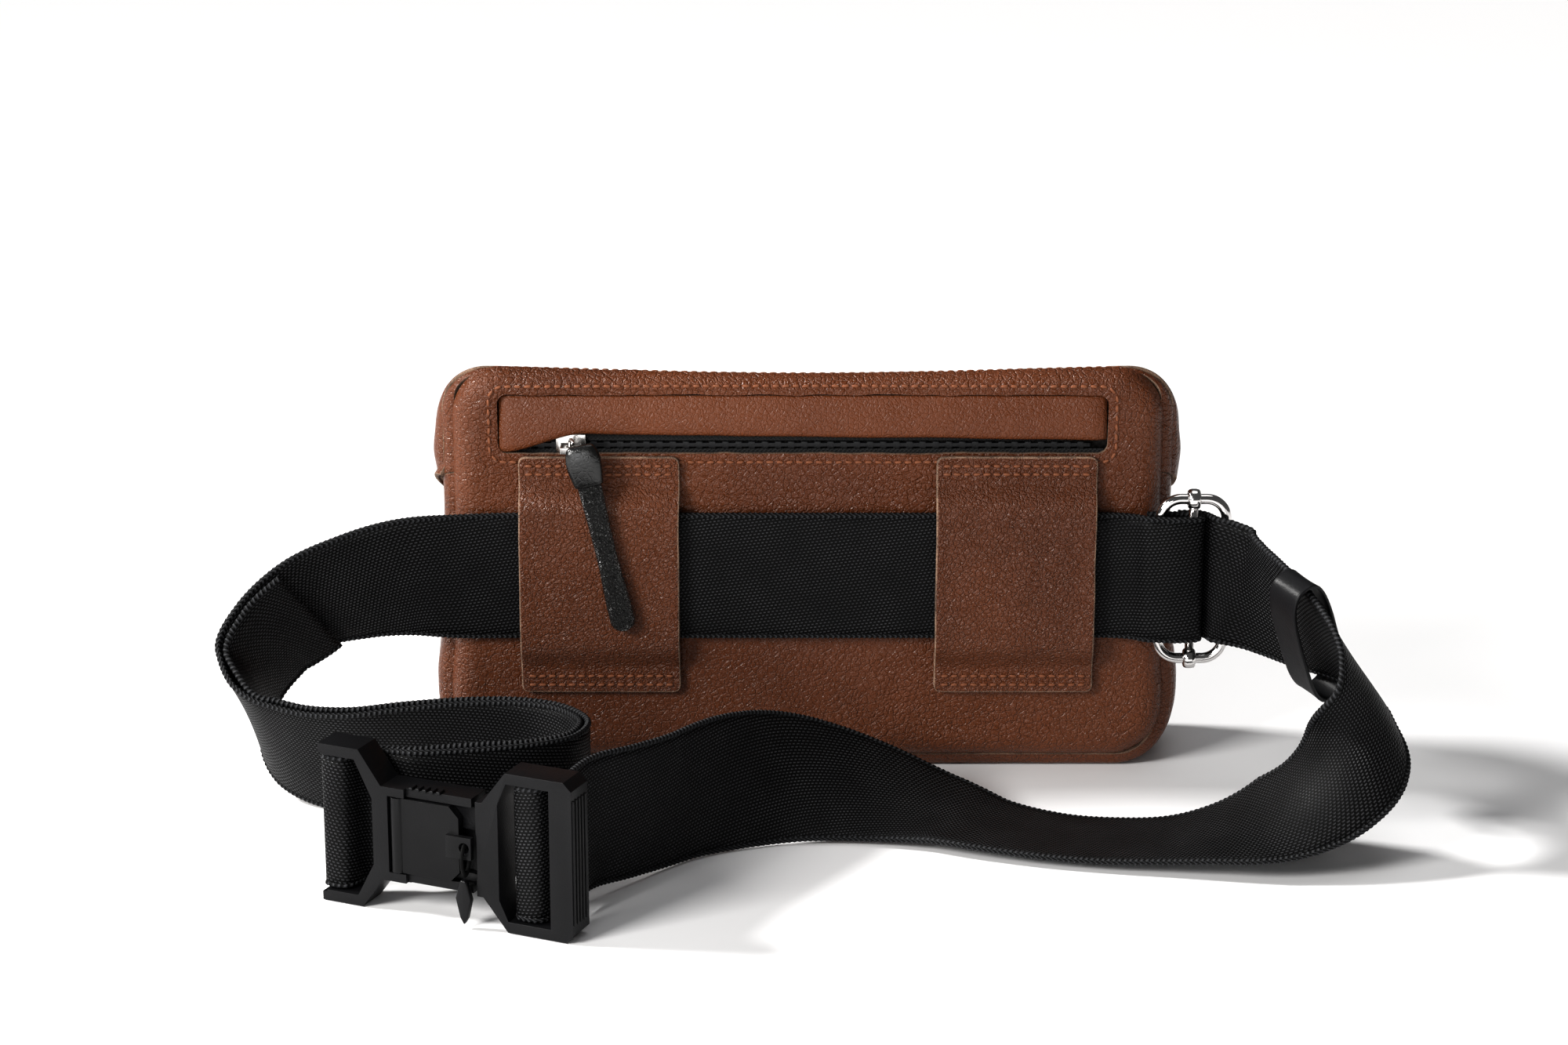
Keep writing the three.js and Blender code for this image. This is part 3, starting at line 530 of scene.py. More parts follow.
def plate(name, field, box, place, step=1.5, materials=("panel", "edge")):
    """A sheet over a grid in (x, z) mm, cut where field is above zero and set in space by place."""
    nx = int((box[1] - box[0]) / step) + 1
    nz = int((box[3] - box[2]) / step) + 1
    xs = np.linspace(box[0], box[1], nx + 1)
    zs = np.linspace(box[2], box[3], nz + 1)
    inside = np.array([[field((xs[i] + xs[i + 1]) / 2, (zs[j] + zs[j + 1]) / 2) < 0
                        for j in range(nz)] for i in range(nx)])
    used = {}
    faces = []
    for i in range(nx):
        for j in range(nz):
            if inside[i, j]:
                ring = [(i, j), (i + 1, j), (i + 1, j + 1), (i, j + 1)]
                faces.append(tuple(used.setdefault(k, len(used)) for k in ring))
    verts = []
    for i, j in used:
        x, z = xs[i], zs[j]
        around = [inside[a, b] for a in (i - 1, i) for b in (j - 1, j) if 0 <= a < nx and 0 <= b < nz]
        if len(around) < 4 or not all(around):
            for _ in range(4):
                d = field(x, z)
                gx = (field(x + 0.05, z) - field(x - 0.05, z)) / 0.1
                gz = (field(x, z + 0.05) - field(x, z - 0.05)) / 0.1
                size = gx * gx + gz * gz or 1.0
                x, z = x - d * gx / size, z - d * gz / size
        verts.append(Vector(place(x, z)) * MM)
    return link(name, mesh_from(name, verts, faces), *[M[m] for m in materials])


def wander(x, z, seed, scale):
    """Smooth noise in about -1..1 for a place in mm."""
    return noise.fractal(Vector((x / scale, z / scale, seed)), 1.0, 2.0, 2)


def bevelled(node, width, material, segments=2):
    """A copy of a CAD node with softened edges, which stands for it."""
    source = NODES[node]
    bm = bmesh.new()
    bm.from_mesh(source.data)
    bmesh.ops.remove_doubles(bm, verts=bm.verts, dist=1e-6)
    bmesh.ops.dissolve_limit(bm, angle_limit=math.radians(1.0), verts=bm.verts, edges=bm.edges)
    mesh = bpy.data.meshes.new(node + "_soft")
    bm.to_mesh(mesh)
    bm.free()
    obj = link(node + "_soft", mesh, material)
    bevel = add_bevel(obj, width, segments)
    bevel.use_clamp_overlap = True
    bevel.harden_normals = True
    smooth(obj.data)
    settle(obj)
    return finish_piece(obj, source["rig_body"], node)


def finish_piece(obj, body, *nodes, slot=None):
    """Says which body a piece rides on and which CAD nodes it replaces; the slot argument is not used."""
    if nodes:
        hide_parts(*nodes)
    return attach(obj, body)


# ---- pack: panels ----
HALF, BACK, FRONT = 108.0, -23.0, 23.0
PANEL = (-HALF, HALF, 4.0, 128.6)
WINDOW = (-94.0, 91.0, 103.0, 121.5)
ROLL = 9.0


def ease(t):
    t = min(max(t, 0.0), 1.0)
    return t * t * (3 - 2 * t)


def rim_curve(run, radius):
    """1 at an edge, falling round a quarter circle to 0 at the radius."""
    return 1 - math.sqrt(max(0.0, 1 - (1 - min(run, radius) / radius) ** 2))


def top_dip(x):
    """How far the top edge sinks between its corners."""
    return 0.6 - 2.2 * (0.5 + 0.5 * math.cos(x / HALF * math.pi)) ** 0.8


def outline_field(x, z):
    """Panel outline with fuller lower corners and a top edge that dips a little in the middle."""
    swell = 2.2 * math.exp(-((z - 24) / 20) ** 2)
    dip = top_dip(x) * ease((z - 90) / 38) - 0.4 * wander(x, z, 1.0, 40)
    return rounded(x * HALF / (HALF + swell), z - dip, PANEL, 15.0)


def window_edge(x, z):
    return rounded(x, z + 0.35 * wander(x, z, 5.0, 9), WINDOW, 3.0)


def back_place(x, z):
    """Where the leather of the body side lies: rolled over at its rim, with slow dents and folds."""
    deep = -outline_field(x, z)
    roll = ROLL * rim_curve(deep, ROLL) * 0.62
    dent = 0.45 * (0.5 + 0.5 * wander(x, z, 3.0, 34))
    open_area = ease((deep - 4) / 8)
    folds = 0.0
    if z < 44:
        folds = 0.55 * max(0.0, math.sin((x * 0.35 + z * 0.55) / 3.4 + 2.0 * wander(x, z, 9.0, 22)))
        folds *= ease((44 - z) / 12) * ease((z - 6) / 10) * (0.5 + 0.5 * wander(x, z, 2.0, 30))
    corner = math.hypot((x + 52) / 34, (z - 125) / 7)
    if corner < 1:
        folds += 0.9 * (1 - corner) * (0.5 + 0.5 * math.sin((x + 0.9 * z) / 1.7))
    if 84 < z < 100:
        folds += 0.28 * ease((z - 84) / 5) * max(0.0, math.sin(z / 0.62 + 3.5 * wander(x, z, 14.0, 18)))
    swell = 0.9 * math.exp(-((window_edge(x, z) - 3.5) / 3.0) ** 2) if z > 112 else 0.0
    y = BACK + roll + (dent + folds) * open_area - 0.35 * swell
    return x, min(y, BACK + 9), z


def make_back_panel():
    def field(x, z):
        return max(outline_field(x, z), -window_edge(x, z))

    sheet = plate("back_panel_leather", field, (-112, 112, 2, 131), back_place, 1.3)
    thicken(sheet, 1.7 * MM, bevel=0.6 * MM)
    for face in sheet.data.polygons:
        x, _, z = face.center / MM
        if window_edge(x, z) > 4:
            face.material_index = 0  # only the window shows a raw edge
    return finish_piece(sheet, "pack", "back_panel", slot="leather")


def make_window_flap():
    """The soft strip above the pocket's slit: it bellies out and its folded lower edge dips unevenly."""
    x0, x1, z1 = -93.6, 90.6, 121.1
    rows, columns = 16, 130
    fold_at = 0.86
    verts = []
    for j in range(columns):
        x = x0 + (x1 - x0) * j / (columns - 1)
        f = j / (columns - 1)
        low = 110.0 - 2.2 * f + 0.25 * wander(x, 0, 4.0, 26)
        low -= 6.0 * (1 - ease((x - x0) / 26))
        for i in range(rows):
            t = i / (rows - 1)
            down = min(t / fold_at, 1.0)
            z = z1 + (low - z1) * down
            y = BACK + 1.1 - 1.35 * math.sin(down * math.pi * 0.62) ** 1.2
            if t > fold_at:
                g = (t - fold_at) / 0.14
                z = low - 0.7 * math.sin(g * math.pi)
                y += 2.0 * g
            end = min(x - x0, x1 - x)
            y += 0.8 * (1 - ease(end / 3.5)) + 0.12 * wander(x, z, 6.0, 14)
            verts.append(Vector((x, y, z)) * MM)
    obj = link("pocket_flap_leather", mesh_from("flap", verts, grid_faces(columns, rows)),
               M["smooth"], M["edge"])
    if obj.data.polygons[0].normal.y > 0:
        obj.data.flip_normals()
    thicken(obj, 1.2 * MM)
    return finish_piece(obj, "pack", "pocket_flap", slot="leather")


def front_section(s):
    """(y, z) on the front panel at distance s up from its lower edge: upright, then curling back."""
    if s < 62:
        return FRONT, 4 + s
    t = min((s - 62) / 48, 1.0)
    a, b, c = (1 - t) ** 2, 2 * t * (1 - t), t * t
    return a * FRONT + b * FRONT + c * 9, a * 66 + b * 100 + c * 110.5


def make_front_panel():
    def field(x, s):
        swell = 2.0 * math.exp(-((s - 20) / 20) ** 2)
        return rounded(x * HALF / (HALF + swell), s, (-HALF, HALF, 0, 109.5), 15.0)

    def place(x, s):
        y, z = front_section(min(max(s, 0.0), 110.0))
        deep = -field(x, s)
        roll = 0.55 * ROLL * rim_curve(deep, ROLL)
        belly = 2.6 * ease(deep / 40) + 0.5 * wander(x, s, 12.0, 36)
        lean = ease((s - 62) / 48)
        out = belly - roll
        return x, y + out * (1 - 0.45 * lean), z + out * 0.6 * lean

    sheet = plate("front_panel_leather", field, (-112, 112, -2, 111), place, 2.0)
    sheet.data.flip_normals()
    thicken(sheet, 1.6 * MM, bevel=0.3 * MM)
    return finish_piece(sheet, "pack", "front_panel", slot="leather")


# ---- pack: gussets ----
NEAR, SLOPE, SPLIT = -17.2, 0.6, 97.0
TUCK, EDGE = 4.6, 5.0


def depth_at(z):
    """How far forward the side reaches at height z, tucked behind the front panel's rim."""
    if z < 66:
        return FRONT - 5.2
    t = (68 - math.sqrt(max(68 ** 2 - 94 * (z - 66), 0.0))) / 47
    return FRONT - 14 * min(t, 1.0) ** 2 - 5.2


def fall_at(y, z):
    """How far a point of the side view at height z sinks at depth y, as the top slopes to the front."""
    return SLOPE * (y + 18) * ease((z - 40) / 57)


def far_edge(z):
    """Where a gusset strip from height z meets the front panel's rim."""
    y = 12.0
    for _ in range(12):
        y = 0.5 * y + 0.5 * depth_at(z - fall_at(y, z))
    y += 1.9 * math.exp(-((z - 84) / 11) ** 2)
    over = ease((z - 100) / 20)
    return y + (9.0 - y) * over


def strip_along(name, path, span, bulge, columns, seed, node, tucks=(TUCK, TUCK)):
    """A leather strip along a path in (x, z), reaching between the y values of span(x, z).

    Its two edges are tucked inward by the distances in tucks, round a curve EDGE wide.
    """
    verts = []
    middle = Vector((0, 62))
    for i, (x, z) in enumerate(path):
        ax, az = path[max(i - 1, 0)]
        bx, bz = path[min(i + 1, len(path) - 1)]
        out = Vector((bz - az, -(bx - ax))).normalized()
        if out.dot(Vector((x, z)) - middle) < 0:
            out = -out
        low, high = span(x, z)
        over = ease((z - 112) / 14)
        near_tuck = tucks[0] * (1 - 0.7 * over)
        far_tuck = tucks[1] * (1 + 0.3 * over)
        for j in range(columns):
            t = j / (columns - 1)
            y = low + (high - low) * t
            rise = bulge(x, z) * math.sin(math.pi * t) ** 0.8
            rise += 0.5 * wander(i * 1.2, y, seed, 13) * math.sin(math.pi * t)
            rise -= near_tuck * rim_curve(y - low, EDGE) + far_tuck * rim_curve(high - y, EDGE)
            nz = z + out.y * rise - fall_at(y, z)
            verts.append(Vector((x + out.x * rise, y, max(nz, 0.0))) * MM)
    obj = link(name, mesh_from(name, verts, grid_faces(len(path), columns)),
               M["panel"], M["edge"])
    bm = bmesh.new()
    bm.from_mesh(obj.data)
    bmesh.ops.recalc_face_normals(bm, faces=bm.faces)
    total = sum((f.calc_center_median() - Vector((0, 0, 0.06))).dot(f.normal) for f in bm.faces)
    if total < 0:
        bmesh.ops.reverse_faces(bm, faces=bm.faces)
    bm.to_mesh(obj.data)
    bm.free()
    smooth(obj.data)
    thicken(obj, 1.6 * MM, bevel=0.3 * MM)
    return finish_piece(obj, "pack", node, slot="leather")


def ring_path():
    """The whole way round the side view, from the left at the split, over the top and back under."""
    points = rounded_path((-111.0, 111.0, 0.0, 129.6), 15.0, 1.4)
    out = []
    for x, z in points:
        swell = 3.4 * math.exp(-((z - 26) / 17) ** 2) * math.copysign(1, x) * ease((abs(x) - 80) / 28)
        out.append((x + swell, z + (top_dip(x) - 0.6) * ease((z - 112) / 16)))
    return out


def make_gussets():
    ring = ring_path()
    start = min(range(len(ring)), key=lambda i: abs(ring[i][1] - SPLIT) + (1000 if ring[i][0] > 0 else 0))
    ring = ring[start:] + ring[:start]
    lower = []
    for x, z in ring:
        lower.append((x, z))
        if x > 0 and z >= SPLIT - 1.2:
            break
    upper = ring[len(lower) - 1:] + [ring[0]]
    strip_along("lower_gusset_leather", lower,
                lambda x, z: (NEAR - 1.8 * (1 - ease((z - 2) / 14)), far_edge(z)),
                lambda x, z: 0.0 if z < 1 else 1.6 * ease(z / 20), 26, 21.0, "lower_gusset")
    strip_along("upper_gusset_rear_leather", upper, lambda x, z: (NEAR, -11.4),
                lambda x, z: 0.9, 10, 22.0, "upper_gusset_rear", (TUCK, 1.2))
    strip_along("upper_gusset_front_leather", upper, lambda x, z: (-2.2, far_edge(z)),
                lambda x, z: 0.9, 16, 23.0, "upper_gusset_front", (1.2, TUCK))
    for side, node in ((-1, "zip_end_tab_left"), (1, "zip_end_tab_right")):
        cover = [(x + side * 1.6, z + 1.5 * ease((z - 110) / 18)) for x, z in ring
                 if x * side > 90 and z > 95]
        strip_along(node + "_leather", cover, lambda x, z: (-14.2, 0.6),
                    lambda x, z: 1.0 + 1.3 * math.exp(-((z - 106) / 8) ** 2), 12, 31 + side, node,
                    (1.4, 1.4))


# ---- belt loops ----
LOOP = {"middle": 63.5, "half": 24.5, "low": 27.0, "top": 102.6, "thick": 1.7}
SEAT, CREST = -23.35, -27.5


def loop_y(z):
    """The loop's inner face: flat on the panel at both ends, raised over the webbing."""
    up = ease((z - 34.5) / 9.5) * ease((94.5 - z) / 9.0)
    return SEAT + (CREST - SEAT) * up


def make_loop(side):
    node = "belt_loop_left" if side < 0 else "belt_loop_right"
    middle = side * LOOP["middle"]
    box = (middle - LOOP["half"], middle + LOOP["half"], LOOP["low"], LOOP["top"])

    def field(x, z):
        return rounded(x + 0.25 * wander(x, z, 40 + side, 25), z, box, 2.2)

    def place(x, z):
        y = loop_y(z) - 0.15 * wander(x, z, 42 + side, 15)
        lift = ease((abs(x - middle) - 17) / 8) * 0.55 * ease((z - 36) / 12) * ease((92 - z) / 12)
        crease = 0.0
        if side > 0:
            crease = 0.28 * math.sin((x * 1.1 - z * 0.30) / 1.9 + 2.4 * wander(x, z, 44, 16))
            crease *= ease((z - 62) / 14) * (0.5 + 0.5 * wander(x, z, 45, 18))
        return x, y - lift - max(crease, -0.1) * 0.8, z

    sheet = plate(node + "_leather", field, (box[0] - 1, box[1] + 1, box[2] - 1, box[3] + 1), place, 1.1,
                  ("loop", "edge"))
    if sheet.data.polygons[0].normal.y > 0:
        sheet.data.flip_normals()
    thicken(sheet, LOOP["thick"] * MM, inward=False, bevel=0.4 * MM)
    return finish_piece(sheet, "pack", node, slot="leather")


# ---- stitching ----
def sew(name, lines, out):
    """Stitches in the pack's leather."""
    finish_piece(stitches(name, lines, out), "pack", slot="leather")


def make_stitching():
    gap = 2.6
    ring = rounded_path((WINDOW[0] - gap, WINDOW[1] + gap, WINDOW[2] - gap, WINDOW[3] + gap), 4.5, 1.0)
    line = [(Vector(back_place(x, z)) + Vector((0, -0.05, 0))) * MM for x, z in ring + ring[:1]]
    sew("window_stitching", [line], (0, -1, 0))
    rows = []
    for side in (-1, 1):
        middle = side * LOOP["middle"]
        for z in (LOOP["low"] + 2.6, LOOP["low"] + 5.4, LOOP["top"] - 5.4, LOOP["top"] - 2.8):
            y = loop_y(z) - LOOP["thick"] - 0.12
            rows.append([Vector((middle - 22.6 + 45.2 * i / 29, y, z)) * MM for i in range(30)])
    sew("loop_stitching", rows, (0, -1, 0))
    rows = []
    for y in (-13.8, 4.2):  # one row on each side of the main zip
        line = []
        for i in range(120):
            x = -96 + 192 * i / 119
            z = 129.6 + top_dip(x) - 0.6 - SLOPE * (y + 18)
            line.append(Vector((x, y, z + 0.95)) * MM)
        rows.append(line)
    sew("top_stitching", rows, (0, 0.51, 0.86))


# ---- webbing ----
def catmull(points, t, centripetal):
    """A point on the curve through the points, as the CAD model's curves go."""
    last = len(points) - 1
    place = last * t
    i = min(int(place), last - 1)
    w = place - i
    p1, p2 = points[i], points[i + 1]
    p0 = points[i - 1] if i else 2 * p1 - p2
    p3 = points[i + 2] if i + 2 <= last else 2 * p2 - p1
    if centripetal:
        d = [max(float(np.sum((b - a) ** 2)) ** 0.25, 1e-4) for a, b in ((p0, p1), (p1, p2), (p2, p3))]
        t1 = ((p1 - p0) / d[0] - (p2 - p0) / (d[0] + d[1]) + (p2 - p1) / d[1]) * d[1]
        t2 = ((p2 - p1) / d[1] - (p3 - p1) / (d[1] + d[2]) + (p3 - p2) / d[2]) * d[1]
    else:
        t1, t2 = 0.5 * (p2 - p0), 0.5 * (p3 - p1)
    return p1 + t1 * w + (-3 * p1 + 3 * p2 - 2 * t1 - t2) * w * w + (2 * p1 - 2 * p2 + t1 + t2) * w ** 3


PER_STATION = 8


def frames(stations):
    """(point, width direction, face direction) along a run of stations, in mm."""
    rows = np.array([s if len(s) == 6 else (*s, 0, 0, 1) for s in stations], float)
    points, widths = rows[:, :3], rows[:, 3:]
    count = (len(rows) - 1) * PER_STATION
    out = []
    for k in range(count + 1):
        t = k / count
        tangent = catmull(points, min(t + 1e-4, 1), True) - catmull(points, max(t - 1e-4, 0), True)
        tangent /= np.linalg.norm(tangent)
        width = catmull(widths, t, False)
        width = width - tangent * width.dot(tangent)
        width /= np.linalg.norm(width)
        out.append((catmull(points, t, True), width, np.cross(width, tangent)))
    return out


# The buckle's place and turn on the floor: u runs along it, n out of its face.
AT = (-100.0, -137.0)
TURN = math.radians(24)
ALONG = np.array((math.cos(TURN), -math.sin(TURN), 0))
OUT = np.array((-math.sin(TURN), -math.cos(TURN), 0))


def at_buckle(u, n, z=24.0):
    return tuple(np.array((AT[0], AT[1], z)) + u * ALONG + n * OUT)


# Stations (x, y, z), with a width direction where the webbing leans. MAIN is the belt as the CAD
# model lays it, and FOLD takes the place of its first four stations, round the adjuster's bar.
MAIN = [
    (117.1, -23.8, 65), (115.8, -24, 65), (113.4, -26, 65), (110.6, -29.3, 65), (107.3, -29.9, 65),
    (103.6, -29.2, 65), (100, -26.8, 65), (95, -25.3, 65), (60, -25.3, 65), (20, -25.3, 65),
    (-20, -25.3, 65), (-60, -25.3, 65), (-91, -25.3, 65), (-106, -26.2, 65, -0.03, -0.04, 1),
    (-122, -27, 65, -0.08, -0.17, 0.98), (-138, -27.5, 62, -0.13, -0.34, 0.93),
    (-153, -29, 57, -0.17, -0.47, 0.86), (-165, -33, 48, -0.19, -0.53, 0.82),
    (-171, -38, 38, -0.23, -0.53, 0.81), (-170, -46, 29, -0.2, -0.5, 0.84),
    (-163, -54, 22, -0.14, -0.45, 0.88), (-151, -61, 19, -0.06, -0.43, 0.9),
    (-136, -66, 19, -0.04, -0.38, 0.92), (-119, -67, 20, -0.03, -0.27, 0.96),
    (-102, -67, 20.4, -0.02, -0.16, 0.98), (-86, -69, 20.6, -0.01, -0.08, 1), (-74, -76, 20.8),
    (-67, -88, 21.2), (-70, -101, 21.8), (-81, -110, 22.8), (-94, -115, 24), (-106, -117.6, 24)]
FOLD = [
    (103.5, -24.1, 65), (110, -23.95, 65), (114.5, -23.7, 65), (117.6, -24.2, 65), (119.5, -25.2, 65),
    (120.1, -27, 65), (119.5, -28.9, 65), (117.3, -29.8, 65), (113.5, -30.3, 65), (110.4, -30.3, 65)]
LEFT_WRAP = [(-19.2, -11.1), (-26, -8.9), (-32, -6), (-36.5, -3.6), (-39.4, -2.7), (-40.2, 0),
             (-39.4, 2.7), (-36.5, 3.4), (-33.6, 2.6), (-32.4, 0), (-31.9, -3), (-30.4, -5.9),
             (-27.4, -7), (-22, -8.2), (-16.6, -9.4)]
RIGHT = [
    (113, -22.3, 65), (119.4, -22.6, 65), (121.8, -24.8, 65), (124, -28.8, 65),
    (127.8, -31, 64.4, -0.01, -0.01, 1), (132.6, -33.6, 63.2, -0.08, -0.06, 1),
    (137.5, -39.3, 62, -0.15, -0.13, 0.98), (142.5, -47, 61, -0.22, -0.2, 0.96),
    (148, -55.5, 59.8, -0.29, -0.3, 0.92), (154, -64.5, 57.8, -0.38, -0.38, 0.86),
    (159.5, -74, 54.6, -0.46, -0.42, 0.79), (163.3, -82.5, 49.5, -0.52, -0.38, 0.76),
    (164, -90, 42.5, -0.55, -0.16, 0.8), (160.5, -95, 34.5, -0.5, 0.25, 0.8),
    (153.5, -97, 26, -0.32, 0.62, 0.66), (144, -96.5, 18.3, -0.16, 0.85, 0.42),
    (132.5, -94.2, 12.2, -0.05, 0.95, 0.22), (120, -91.5, 7.4, 0.03, 0.98, 0.04),
    (106, -88.8, 3.9, 0.07, 1, -0.05), (90, -86.2, 2.5, 0.08, 1, -0.06),
    (72, -82.3, 2.4, 0.09, 1, -0.05), (53, -76, 3.8, 0.1, 0.99, 0.02),
    (38, -69.5, 6.2, 0.08, 0.97, 0.2), (23, -67, 10, 0.06, 0.9, 0.42), (8, -68, 14, 0.03, 0.78, 0.62),
    (-6, -72, 17.3, 0.02, 0.62, 0.78), (-19, -80, 19.4, 0.05, 0.44, 0.9),
    (-31, -90, 20.4, 0.07, 0.25, 0.97), (-41, -101, 20.8, 0.06, 0.12, 0.99),
    (-51, -113, 22.2, 0.03, 0.05, 1), (-61.5, -125.7, 24)]
RIGHT_WRAP = [(30.6, -9), (30.5, -4.5), (29.8, -0.6), (28.2, 2.4), (25, 3.2), (21.9, 2.5), (21.1, 0),
              (21.4, -3), (23, -4.8), (25.6, -5.2)]
# How much of its width the right strap shows at each station of its turn.
NARROW = {10: 1.0, 11: 0.95, 12: 0.87, 13: 0.83, 14: 0.85, 15: 0.92, 16: 1.0}


def full_width(row):
    return 1.0


def ribbon(name, rows, chord=full_width):
    """Webbing along (point, width, face) rows: a flat band, and a braided roll on each edge.

    chord(row) narrows the band, which then cups by as much as a bent strip of its width would.
    """
    half, thick = 19.1, 0.62
    across = 14
    profile = [(half * (2 * k / across - 1), 1) for k in range(across + 1)]
    profile += [(half * (1 - 2 * k / across), -1) for k in range(across + 1)]
    verts, uvs = [], []
    run = 0.0
    edges = ([], [])
    for i, (p, width, face) in enumerate(rows):
        if i:
            run += float(np.linalg.norm(p - rows[i - 1][0]))
        scale = chord(i)
        cup = 26.0 * (1 - scale)
        for v, side in profile:
            bow = cup * (1 - (v / half) ** 2)
            q = p + width * v * scale + face * (side * thick + bow - cup * 0.6)
            verts.append(Vector(q) * MM)
            uvs.append((run * MM, (v + 20) * MM))
        for k, sign in enumerate((-1, 1)):
            edges[k].append(Vector(p + width * sign * (half + 0.15) * scale - face * cup * 0.6) * MM)
    faces = capped_faces(len(rows), len(profile))
    band = link(name, mesh_from(name, verts, faces, uvs), M["webbing"])
    outward(band)
    rolls = []
    for line in edges:
        fine = []
        total = 0.0
        for a, b in zip(line, line[1:]):
            steps = max(1, int(round((b - a).length / 0.0005)))
            fine += [a.lerp(b, s / steps) for s in range(steps)]
        fine.append(line[-1])
        radii = []
        for a, b in zip(fine, fine[1:] + fine[-1:]):
            radii.append(0.00088 + 0.00014 * math.sin(2 * math.pi * total / BRAID_PITCH))
            total += (b - a).length
        rolls.append(tube("roll", fine, radii, 8, material=M["braid"]))
    return band, joined(name + "_edges", rolls), run


def make_belt():
    main = frames(MAIN)
    tail = []
    for i in range(29, 15, -1):
        p, _, face = main[i * PER_STATION]
        q = p + face * (3.6 if i < 20 else 2.6)
        tail.append((*q, *(MAIN[i][3:] or (0, 0, 1))))
    wrap = [at_buckle(u, n) for u, n in LEFT_WRAP]
    rows = frames(FOLD + MAIN[4:] + wrap + tail)
    band, rolls, length = ribbon("belt_webbing_soft", rows)
    seam_x = 99
    seam_at, width, face = min((r for r in rows if r[0][1] < -26), key=lambda r: abs(r[0][0] - seam_x))
    seam = [Vector(seam_at + width * v - face * 0.75) * MM for v in np.linspace(-17, 17, 30)]
    finish_piece(stitches("belt_seam", [seam], -face, material="black_thread"), "belt", slot="webbing")
    finish_piece(band, "belt", "belt_webbing", "belt_wrap_left", "belt_tail_left", slot="webbing")
    finish_piece(rolls, "belt", slot="webbing")
    return length


def make_right_strap():
    rows = frames(RIGHT + [at_buckle(u, n) for u, n in RIGHT_WRAP])
    keys = sorted(NARROW)

    def chord(row):
        return float(np.interp(row / PER_STATION, [keys[0] - 1] + keys, [1.0] + [NARROW[k] for k in keys]))

    band, rolls, length = ribbon("strap_right_soft", rows, chord)
    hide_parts("strap_right", "strap_right_loop")
    for obj in (band, rolls):
        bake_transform(obj)
    return length


# ---- keeper and adjuster ----
def make_keeper():
    """The sleeve on the right strap: a soft oval band, open at both ends."""
    middle_row = 68
    p, width, face = frames(RIGHT)[middle_row]
    tangent = np.cross(face, width)
    p = p - face * 3.0
    verts = []
    around, lengthwise = 48, 9
    for wall in (0, 1):
        for i in range(lengthwise):
            t = i / (lengthwise - 1) * 2 - 1
            flare = 0.35 * t * t
            for k in range(around):
                a = 2 * math.pi * k / around
                half_d, half_w = 6.9 + flare - 1.1 * wall, 23.4 + 0.2 * flare - 1.1 * wall
                c, s = math.cos(a), math.sin(a)
                d = half_d * math.copysign(abs(c) ** 0.75, c)
                w = half_w * math.copysign(abs(s) ** 0.55, s)
                d += 0.3 * wander(w, t * 5, 61, 12) * (1 if wall == 0 else 0.6)
                slant = 0.8 * (w / half_w)
                q = p + face * d + width * w + tangent * (t * 5.6 + slant * (1 if t > 0 else 0.4))
                verts.append(Vector(q) * MM)
    faces = grid_faces(lengthwise, around, False, True)
    count = lengthwise * around
    faces += [tuple(reversed([count + i for i in f])) for f in grid_faces(lengthwise, around, False, True)]
    for k in range(around):
        n = (k + 1) % around
        faces.append((k, count + k, count + n, n))
        end = (lengthwise - 1) * around
        faces.append((end + n, count + end + n, count + end + k, end + k))
    obj = link("keeper_sleeve", mesh_from("keeper", verts, faces), M["sleeve"])
    outward(obj)
    add_bevel(obj, 0.35 * MM, angle=45)
    settle(obj)
    return finish_piece(obj, "keeper", "keeper", slot="black_plastic")


ADJUSTER = {"x": 117.3, "y": -27.0, "z": 64.5, "width": 20.0, "height": 51.0, "wire": 1.6}


def make_adjuster():
    a = ADJUSTER
    half_w, half_h = a["width"] / 2, a["height"] / 2
    box = (a["x"] - half_w, a["x"] + half_w, a["z"] - half_h, a["z"] + half_h)
    path = [Vector((x, a["y"], z)) * MM for x, z in rounded_path(box, 6.2, 0.6)]
    wire = tube("adjuster_wire", path, a["wire"] * MM, 20, closed=True, material=M["chrome"])
    finish_piece(wire, "belt", "adjuster_frame", slot="chrome")
    parts = []
    for side in (-1, 1):
        z = a["z"] + side * half_h
        profile = [(-1.9, 1.95), (-1.9, 2.45), (-1.5, 2.95), (-0.6, 3.15), (0.6, 3.15), (1.5, 2.95),
                   (1.9, 2.45), (1.9, 1.95)]
        verts, ring = [], 32
        for u, r in profile:
            for k in range(ring):
                b = 2 * math.pi * k / ring
                verts.append(Vector((a["x"] + u, a["y"] + r * math.cos(b), z + r * math.sin(b))) * MM)
        faces = grid_faces(len(profile), ring, True, True)
        parts.append(link("collar", mesh_from("collar", verts, faces), M["chrome"]))
    reach = half_h - 2.6
    bar = [Vector((a["x"], a["y"], a["z"] + z)) * MM for z in (-reach, -reach / 2, 0, reach / 2, reach)]
    parts.append(tube("bar", bar, 1.4 * MM, 16, material=M["chrome"]))
    finish_piece(joined("adjuster_bar_and_collars", parts), "belt", "adjuster_bar")


# ---- zip pulls ----
def lofted(name, sections, material, squareness=0.45):
    """A soft bar through (centre, side direction, half width, out direction, half depth) sections."""
    around = 28
    verts = []
    for centre, side, half_w, out, half_d in sections:
        for k in range(around):
            a = 2 * math.pi * k / around
            c, s = math.cos(a), math.sin(a)
            w = half_w * math.copysign(abs(c) ** squareness, c)
            d = half_d * math.copysign(abs(s) ** 0.7, s)
            verts.append((Vector(centre) + Vector(side) * w + Vector(out) * d) * MM)
    return link(name, mesh_from(name, verts, capped_faces(len(sections), around)), M[material])


